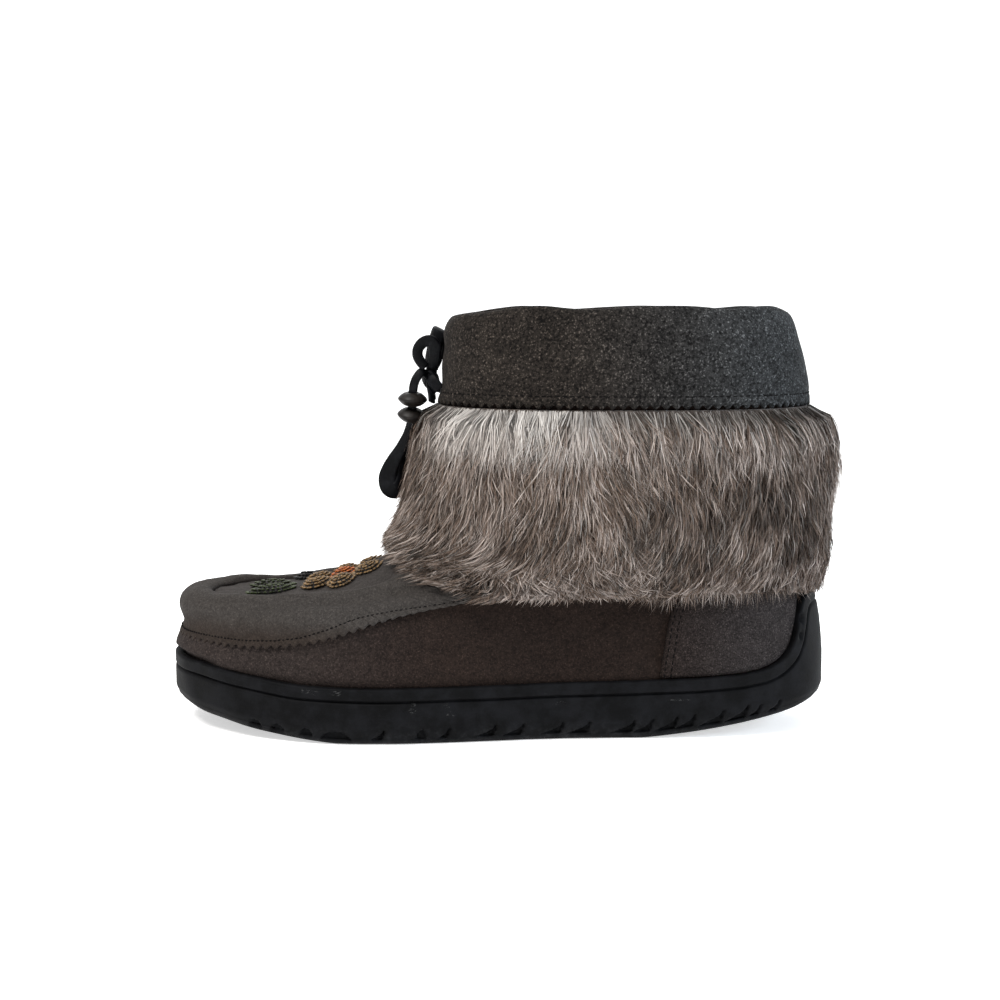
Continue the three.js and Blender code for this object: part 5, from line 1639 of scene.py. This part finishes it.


# Each hair's tone, by patch, clump, lock and hair, with painted shadow patches, and how pale it is under the
# collar
def fur_tones(root, nearest, rng):
    x, z = root[:, 0], root[:, 2]
    patch = Ripple(SEED + 22, 30)(root) * 0.10 + Ripple(SEED + 23, 11)(root) * 0.10
    clump = rng.normal(0, 0.12, CLUMPS)[nearest]
    locks = root[rng.integers(0, len(root), LOCKS)]
    clump = clump + rng.normal(0, 0.24, LOCKS)[nearest_of(locks, root)]
    own = rng.normal(0, 0.14, len(x))
    rear = smooth(SEAM_X - 2, SEAM_X + 10, x)
    tone = 0.58 - 0.10 * rear + patch * (1 + 0.6 * rear) + clump + own
    # Painted shadow: hairs darken in patches where shade falls on the coat
    for px, pz, wide, tall, dark in SHADOW_PATCHES:
        tone = tone - dark * np.exp(-((x - px) / wide) ** 2 - ((z - pz) / tall) ** 2)
    collar = smooth(119, 131, z) * smooth(-30, -14, x) * (0.75 + 0.25 * Ripple(SEED + 25, 7)(root))
    tone = tone + 0.24 * collar * (0.35 + 0.65 * smooth(44, 25, x))
    pale = 0.84 * collar * (0.2 + 0.8 * smooth(48, 20, x)) - 0.04 + rng.normal(0, 0.16, len(x))
    return np.clip(tone, 0.02, 1.0), np.clip(pale, 0, 0.9)


def pelt(skin):
    columns = 300
    q = np.arange(columns) * 2 / columns
    hem, top = fur_edges(q)
    hem = hem + 2.0
    lump = Ripple(SEED + 24, 8)
    rows = []
    for share in np.linspace(0, 1, 34):
        off = np.full(columns, 0.6 + 2.6 * math.sin(math.pi * min(1, 0.12 + share * 0.86)) ** 0.5)
        place = skin.off(q, mix(hem, top, share), off)
        rows.append(skin.off(q, mix(hem, top, share), off + 0.35 * lump(place)))
    for share in np.linspace(1, 0, 8):
        rows.append(skin.off(q, mix(hem, top, share), np.full(columns, 0.42)))
    points, faces = loft(rows, wrap_cols=True)
    hide = plain_nap("pelt_hide", scaled(paint("fur"), 0.3), 0.8, 0.5)
    settle(piece_of("fur_pelt", points, faces, hide), "fur", "fur_cuff")


# Each hair is a ribbon of two quads and a tip, five triangles, and no piece has more than the limit
HAIR_LIMIT = 185000
HAIR_WIDTHS = (0.8, 1.0, 0.75, 0.0)


def hairs(lines, width, tone, pale, rng):
    material = fur_hair("fur_hairs", paint("fur"))
    shares = np.array_split(np.arange(len(lines)), math.ceil(len(lines) * 5 / HAIR_LIMIT))
    facing = lines[:, 1] - [40.0, 0, 0]
    facing[:, 2] = 0
    facing /= np.linalg.norm(facing, axis=1, keepdims=True)
    roll = rng.uniform(-0.9, 0.9, len(lines))
    for batch, chosen in enumerate(shares, 1):
        line = lines[chosen]
        along = np.gradient(line, axis=1)
        along /= np.linalg.norm(along, axis=2, keepdims=True)
        aside = np.cross(along, facing[chosen][:, None])
        aside /= np.maximum(np.linalg.norm(aside, axis=2, keepdims=True), 1e-6)
        lift = np.cross(aside, along)
        angle = roll[chosen][:, None, None]
        aside = aside * np.cos(angle) + lift * np.sin(angle)
        wide = width[chosen][:, None, None] * np.array(HAIR_WIDTHS)[None, :, None] / 2
        left, right = line - aside * wide, line + aside * wide
        n = len(chosen)
        sides = [edge[:, step] for step in range(3) for edge in (left, right)]
        points = np.stack([*sides, line[:, 3]], 1)
        base = np.arange(n)[:, None] * 7
        faces = np.concatenate([base + [0, 1, 3, 2], base + [2, 3, 5, 4], base + [4, 5, 6, 6]], 0)
        piece = piece_of(f"fur_hairs_{batch}", points.reshape(-1, 3), faces, material, closed=False)
        attribute(piece, "along", np.tile(np.repeat(HAIR_STEPS, 2)[:-1], n))
        attribute(piece, "tone", np.repeat(tone[chosen], 7))
        attribute(piece, "pale", np.repeat(pale[chosen], 7) * np.tile([1, 1, 1, 1, 0.8, 0.8, 0.7], n))
        settle(piece, "fur", "fur_cuff")


# Beadwork: domes that carry rows of seed beads
# How far a pad stands up at its middle and its edge, and where it sits over the form
PAD = {"rise": 2.7, "edge": 0.9, "off": SHEET_OVER + PLUG_THICKNESS + 0.15}
FLOWER = {"x": -65, "y": 0, "petals": 6, "reach": 12.4, "length": 13.4, "width": 11.4, "centre": 10.6}
# Each leaf: x, y, length, width, turn, colour
LEAVES = (
    (-95, -7.5, 21, 9.5, 0.35, "olive"), (-96, 7, 21, 9.5, -0.3, "olive"),
    (-83, 24.5, 15, 7.5, -0.6, "black"),
)


# Rings of places on a pad, from its outline inwards; point makes its ends pointed
def pad_places(x, y, length, width, turn, point, shares, counts):
    flats, lifts = [], []
    for share, count in zip(shares, counts):
        angle = 2 * np.pi * (np.arange(count) + 0.5 * (len(flats) % 2)) / count
        taper = 1 - point * np.cos(angle) ** 2
        along = 0.5 * length * share * np.cos(angle)
        across = 0.5 * width * share * np.sin(angle) * taper
        flats.append(np.stack([x + along * math.cos(turn) - across * math.sin(turn),
                               y + along * math.sin(turn) + across * math.cos(turn)], -1))
        lifts.append(np.full(count, share))
    return np.vstack(flats), np.concatenate(lifts)


def pad_height(share):
    return PAD["edge"] * 0.5 + (PAD["rise"] - PAD["edge"] * 0.4) * (1 - share ** 2.4)


def bead_pad(node, slot, cloth, glaze, x, y, length, width, turn, point):
    around = 40
    shares = np.array([1.0, 0.97, 0.85, 0.65, 0.4, 0.12])
    flat, share = pad_places(x, y, length - 1.6, width - 1.6, turn, point, shares, [around] * 6)
    q, t = over_toe(flat)
    lift = np.where(share > 0.98, 0.0, pad_height(share))
    top = FORM.off(q, t, PAD["off"] + lift).reshape(6, around, 3)
    crown = top[-1].mean(axis=0)
    low = FORM.off(q[-around:], t[-around:], np.full(around, PAD["off"]))
    rows = [low, *top, np.repeat(crown[None], around, 0) + [0, 0, 0.02]]
    settle(piece_of(f"{node}_cloth", *loft(rows, wrap_cols=True), cloth, weld=True), slot, node)
    size = bpy.context.scene.boot_sizes.seed_bead
    pitch = size / MM * 1.06
    fine = np.linspace(0, 1, 101)
    rise = np.diff(pad_height(fine))
    arc = np.concatenate([[0], np.cumsum(np.hypot(0.005 * width, rise))])
    rings = np.interp(np.arange(arc[-1], 0.2, -pitch * 0.93), arc, fine)
    counts = [max(1, round(2 * math.pi * r * (length + width) / 4 / pitch * 1.04)) for r in rings]
    flat, share = pad_places(x, y, length - 0.6, width - 0.6, turn, point, rings, counts)
    flat = flat + np.random.default_rng(SEED + round(x * y)).normal(0, 0.22, flat.shape)
    q, t = over_toe(flat)
    centres = FORM.off(q, t, PAD["off"] + pad_height(share) + 0.35)
    facing = FORM.normal(q, t)
    middle = FORM.off(*[np.full(1, v) for v in (q[-1], t[-1])], np.full(1, PAD["off"]))
    away = centres - middle
    along = np.cross(facing, away) + 1e-3
    group = bpy.data.node_groups.get("Seed beads") or seed_bead_tree()
    beads = grown(f"{node}_beads", centres, [], {"facing": facing, "along": along}, group, glaze,
                  Size=size, Seed=SEED)
    settle(beads, slot, node)


def build_beadwork():
    glazes = {name: glazed(f"{name}_glaze", paint(name)) for name in ("tan", "orange", "olive", "black")}
    cloth = plain_nap("bead_backing", scaled(paint("plug"), 0.5), 0.8, 0.3)
    for i in range(FLOWER["petals"]):
        turn = 2 * math.pi * (i + 0.5) / FLOWER["petals"]
        x = FLOWER["x"] + FLOWER["reach"] * math.cos(turn)
        y = FLOWER["y"] + FLOWER["reach"] * math.sin(turn)
        size = (FLOWER["length"], FLOWER["width"])
        bead_pad(f"petal_{i + 1}", "tan_beads", cloth, glazes["tan"], x, y, *size, turn, 0)
    middle = (FLOWER["x"], FLOWER["y"], FLOWER["centre"], FLOWER["centre"])
    bead_pad("flower_centre", "orange_beads", cloth, glazes["orange"], *middle, 0, 0)
    for i, (x, y, length, width, turn, name) in enumerate(LEAVES):
        bead_pad(f"leaf_{i + 1}", f"{name}_beads", cloth, glazes[name], x, y, length, width, turn, 0.35)


# What a user may change
def number(name, text, value, unit="LENGTH", low=0.0, high=10.0):
    return bpy.props.FloatProperty(
        name=name, description=text, default=value, min=low, max=high, unit=unit, precision=5)


def tint(name, text, value):
    return bpy.props.FloatVectorProperty(
        name=name, description=text, default=value, size=3, min=0, max=1, subtype="COLOR")


class BootSizes(bpy.types.PropertyGroup):
    """Sizes of the fur and the beadwork"""

    hairs: bpy.props.IntProperty(
        name="Hairs", description="How many hairs the fur cuff has", default=96000, min=1000)
    hair_length: number("Hair length", "Length of a full hair of the coat", 0.019)
    hair_width: number("Hair width", "Width of a hair at its middle", 0.0004)
    seed_bead: number("Seed bead", "Outside diameter of a seed bead", 0.0016)


class BootColours(bpy.types.PropertyGroup):
    """Colours of the boot's materials"""

    suede: tint("Quarter suede", "Suede of the quarters and the heel counter", (0.0128, 0.0083, 0.0066))
    # Painted light: the vamp suede is the roll's top painted lighter and greyer, and the vamp edge the same
    # suede in less light
    roll: tint("Vamp suede", "Suede of the vamp wrap", (0.036, 0.032, 0.0295))
    wrap_low_shade: tint("Vamp edge", "Suede of the vamp wrap near its pinked edge", (0.0238, 0.0180, 0.0150))
    plug: tint("Plug suede", "Suede of the toe plug", (0.036, 0.032, 0.030))
    # Painted light: the quarter suede made lighter round the toe, where more light falls
    suede_toe_lit: tint("Toe suede", "Suede of the upper round the toe", (0.0215, 0.0165, 0.0150))
    # Painted light: the quarter suede made lighter and cooler round the heel, where the side light falls
    counter: tint("Counter suede", "Suede of the heel counter", (0.0205, 0.0176, 0.0174))
    collar: tint("Collar suede", "Suede of the collar at its front", (0.0122, 0.0100, 0.0084))
    # Painted light: the collar suede made lighter and cooler at the back, where the cool side light falls
    collar_back_lit: tint("Collar suede, back", "Suede of the collar at its back", (0.0178, 0.0190, 0.0200))
    rubber: tint("Rubber", "Rubber of the cup sole", (0.0029, 0.0030, 0.0036))
    fur: tint("Fur", "Shaft of the hairs", (0.150, 0.104, 0.078))
    fleece: tint("Fleece", "Lining and footbed", (0.50, 0.48, 0.45))
    lace: tint("Lace", "Leather of the lace", (0.0016, 0.0018, 0.0026))
    wood: tint("Lace beads", "Dark wood of the beads on the lace", (0.008, 0.006, 0.005))
    thread: tint("Thread", "Thread of the stitches", (0.0025, 0.0022, 0.0022))
    tan: tint("Petal beads", "Seed beads of the petals", (0.15, 0.092, 0.04))
    orange: tint("Centre beads", "Seed beads of the flower's centre", (0.33, 0.085, 0.014))
    olive: tint("Leaf beads", "Seed beads of the two front leaves", (0.024, 0.032, 0.010))
    black: tint("Dark leaf beads", "Seed beads of the inner leaf", (0.004, 0.004, 0.004))


class BootStudio(bpy.types.PropertyGroup):
    """The camera and the lights"""

    lens: number("Lens", "Focal length of the photograph's view, in millimetres", 65.34, "CAMERA", 1, 500)
    aside: number("Aside", "Camera along X", -0.0005, low=-10)
    distance: number("Distance", "Camera in front of the boot", 0.75)
    height: number("Height", "Camera above the floor", 0.1726)
    pitch: number("Pitch", "How far the camera looks down", math.atan(195 / 1815), "ROTATION")
    key: number("Key light", "Power of the large light at the front", 22.0, "POWER", high=1000)
    fill: number("Fill light", "Strength of the pale world", 0.5, "NONE")


class BOOT_OT_camera(bpy.types.Operator):
    """Places the camera at the photograph's viewpoint"""

    bl_idname = "boot.camera"
    bl_label = "Camera"

    def execute(self, context):
        place_camera()
        return {"FINISHED"}


class BOOT_OT_lace(bpy.types.Operator):
    """Ties the flat lace, its knot, loops, ends and turned beads"""

    bl_idname = "boot.lace"
    bl_label = "Lace and beads"

    def execute(self, context):
        build_lace()
        return {"FINISHED"}


class BOOT_OT_outsole(bpy.types.Operator):
    """Moulds the cup sole with its rim, notches and tread"""

    bl_idname = "boot.outsole"
    bl_label = "Outsole"

    def execute(self, context):
        build_outsole()
        return {"FINISHED"}


class BOOT_OT_upper(bpy.types.Operator):
    """Shapes the hollow suede upper"""

    bl_idname = "boot.upper"
    bl_label = "Upper"

    def execute(self, context):
        build_upper()
        return {"FINISHED"}


class BOOT_OT_vamp_wrap(bpy.types.Operator):
    """Lays the pinked vamp wrap with its roll and stitches"""

    bl_idname = "boot.vamp_wrap"
    bl_label = "Vamp wrap"

    def execute(self, context):
        build_wrap()
        return {"FINISHED"}


class BOOT_OT_toe_plug(bpy.types.Operator):
    """Sets the suede plug into the roll"""

    bl_idname = "boot.toe_plug"
    bl_label = "Toe plug"

    def execute(self, context):
        build_plug()
        return {"FINISHED"}


class BOOT_OT_heel_counter(bpy.types.Operator):
    """Lays the heel counter with its two stitch rows"""

    bl_idname = "boot.heel_counter"
    bl_label = "Heel counter"

    def execute(self, context):
        build_counter()
        return {"FINISHED"}


class BOOT_OT_collar(bpy.types.Operator):
    """Folds the pinked collar over the shaft"""

    bl_idname = "boot.collar"
    bl_label = "Collar"

    def execute(self, context):
        build_collar()
        return {"FINISHED"}


class BOOT_OT_lining(bpy.types.Operator):
    """Lines the boot with fleece"""

    bl_idname = "boot.lining"
    bl_label = "Lining"

    def execute(self, context):
        build_lining()
        return {"FINISHED"}


class BOOT_OT_footbed(bpy.types.Operator):
    """Lays the felt footbed"""

    bl_idname = "boot.footbed"
    bl_label = "Footbed"

    def execute(self, context):
        build_footbed()
        return {"FINISHED"}


class BOOT_OT_beadwork(bpy.types.Operator):
    """Sews the beaded flower and leaves to the plug"""

    bl_idname = "boot.beadwork"
    bl_label = "Beadwork"

    def execute(self, context):
        build_beadwork()
        return {"FINISHED"}


class BOOT_OT_fur(bpy.types.Operator):
    """Grows the fur on its pelt"""

    bl_idname = "boot.fur"
    bl_label = "Fur cuff"

    def execute(self, context):
        build_fur()
        return {"FINISHED"}


class BOOT_OT_stage(bpy.types.Operator):
    """Lays the pale floor and sets the studio lights"""

    bl_idname = "boot.stage"
    bl_label = "Stage"

    def execute(self, context):
        build_stage()
        return {"FINISHED"}


OPERATORS = (
    BOOT_OT_camera, BOOT_OT_lace, BOOT_OT_outsole, BOOT_OT_upper,
    BOOT_OT_vamp_wrap, BOOT_OT_toe_plug, BOOT_OT_heel_counter, BOOT_OT_collar,
    BOOT_OT_lining, BOOT_OT_footbed, BOOT_OT_beadwork, BOOT_OT_fur,
    BOOT_OT_stage,
)


class BOOT_PT_build(bpy.types.Panel):
    """Lists the boot's pieces and what can be changed on them"""

    bl_label = "Mukluk Boot"
    bl_idname = "BOOT_PT_build"
    bl_space_type = "VIEW_3D"
    bl_region_type = "UI"
    bl_category = "Boot"

    def draw(self, context):
        for group in (context.scene.boot_sizes, context.scene.boot_colours, context.scene.boot_studio):
            box = self.layout.box()
            for key in group.bl_rna.properties.keys():
                if key not in ("rna_type", "name"):
                    box.prop(group, key)
        for made in OPERATORS:
            self.layout.operator(made.bl_idname)


GROUPS = {"boot_sizes": BootSizes, "boot_colours": BootColours, "boot_studio": BootStudio}


def register():
    for made in (*GROUPS.values(), *OPERATORS, BOOT_PT_build):
        bpy.utils.register_class(made)
    for name, group in GROUPS.items():
        setattr(bpy.types.Scene, name, bpy.props.PointerProperty(type=group))


def unregister():
    for name in GROUPS:
        delattr(bpy.types.Scene, name)
    for made in reversed((*GROUPS.values(), *OPERATORS, BOOT_PT_build)):
        bpy.utils.unregister_class(made)


def main():
    register()
    for made in OPERATORS:
        getattr(bpy.ops.boot, made.bl_idname.split(".")[1])()


if __name__ == "__main__":
    main()
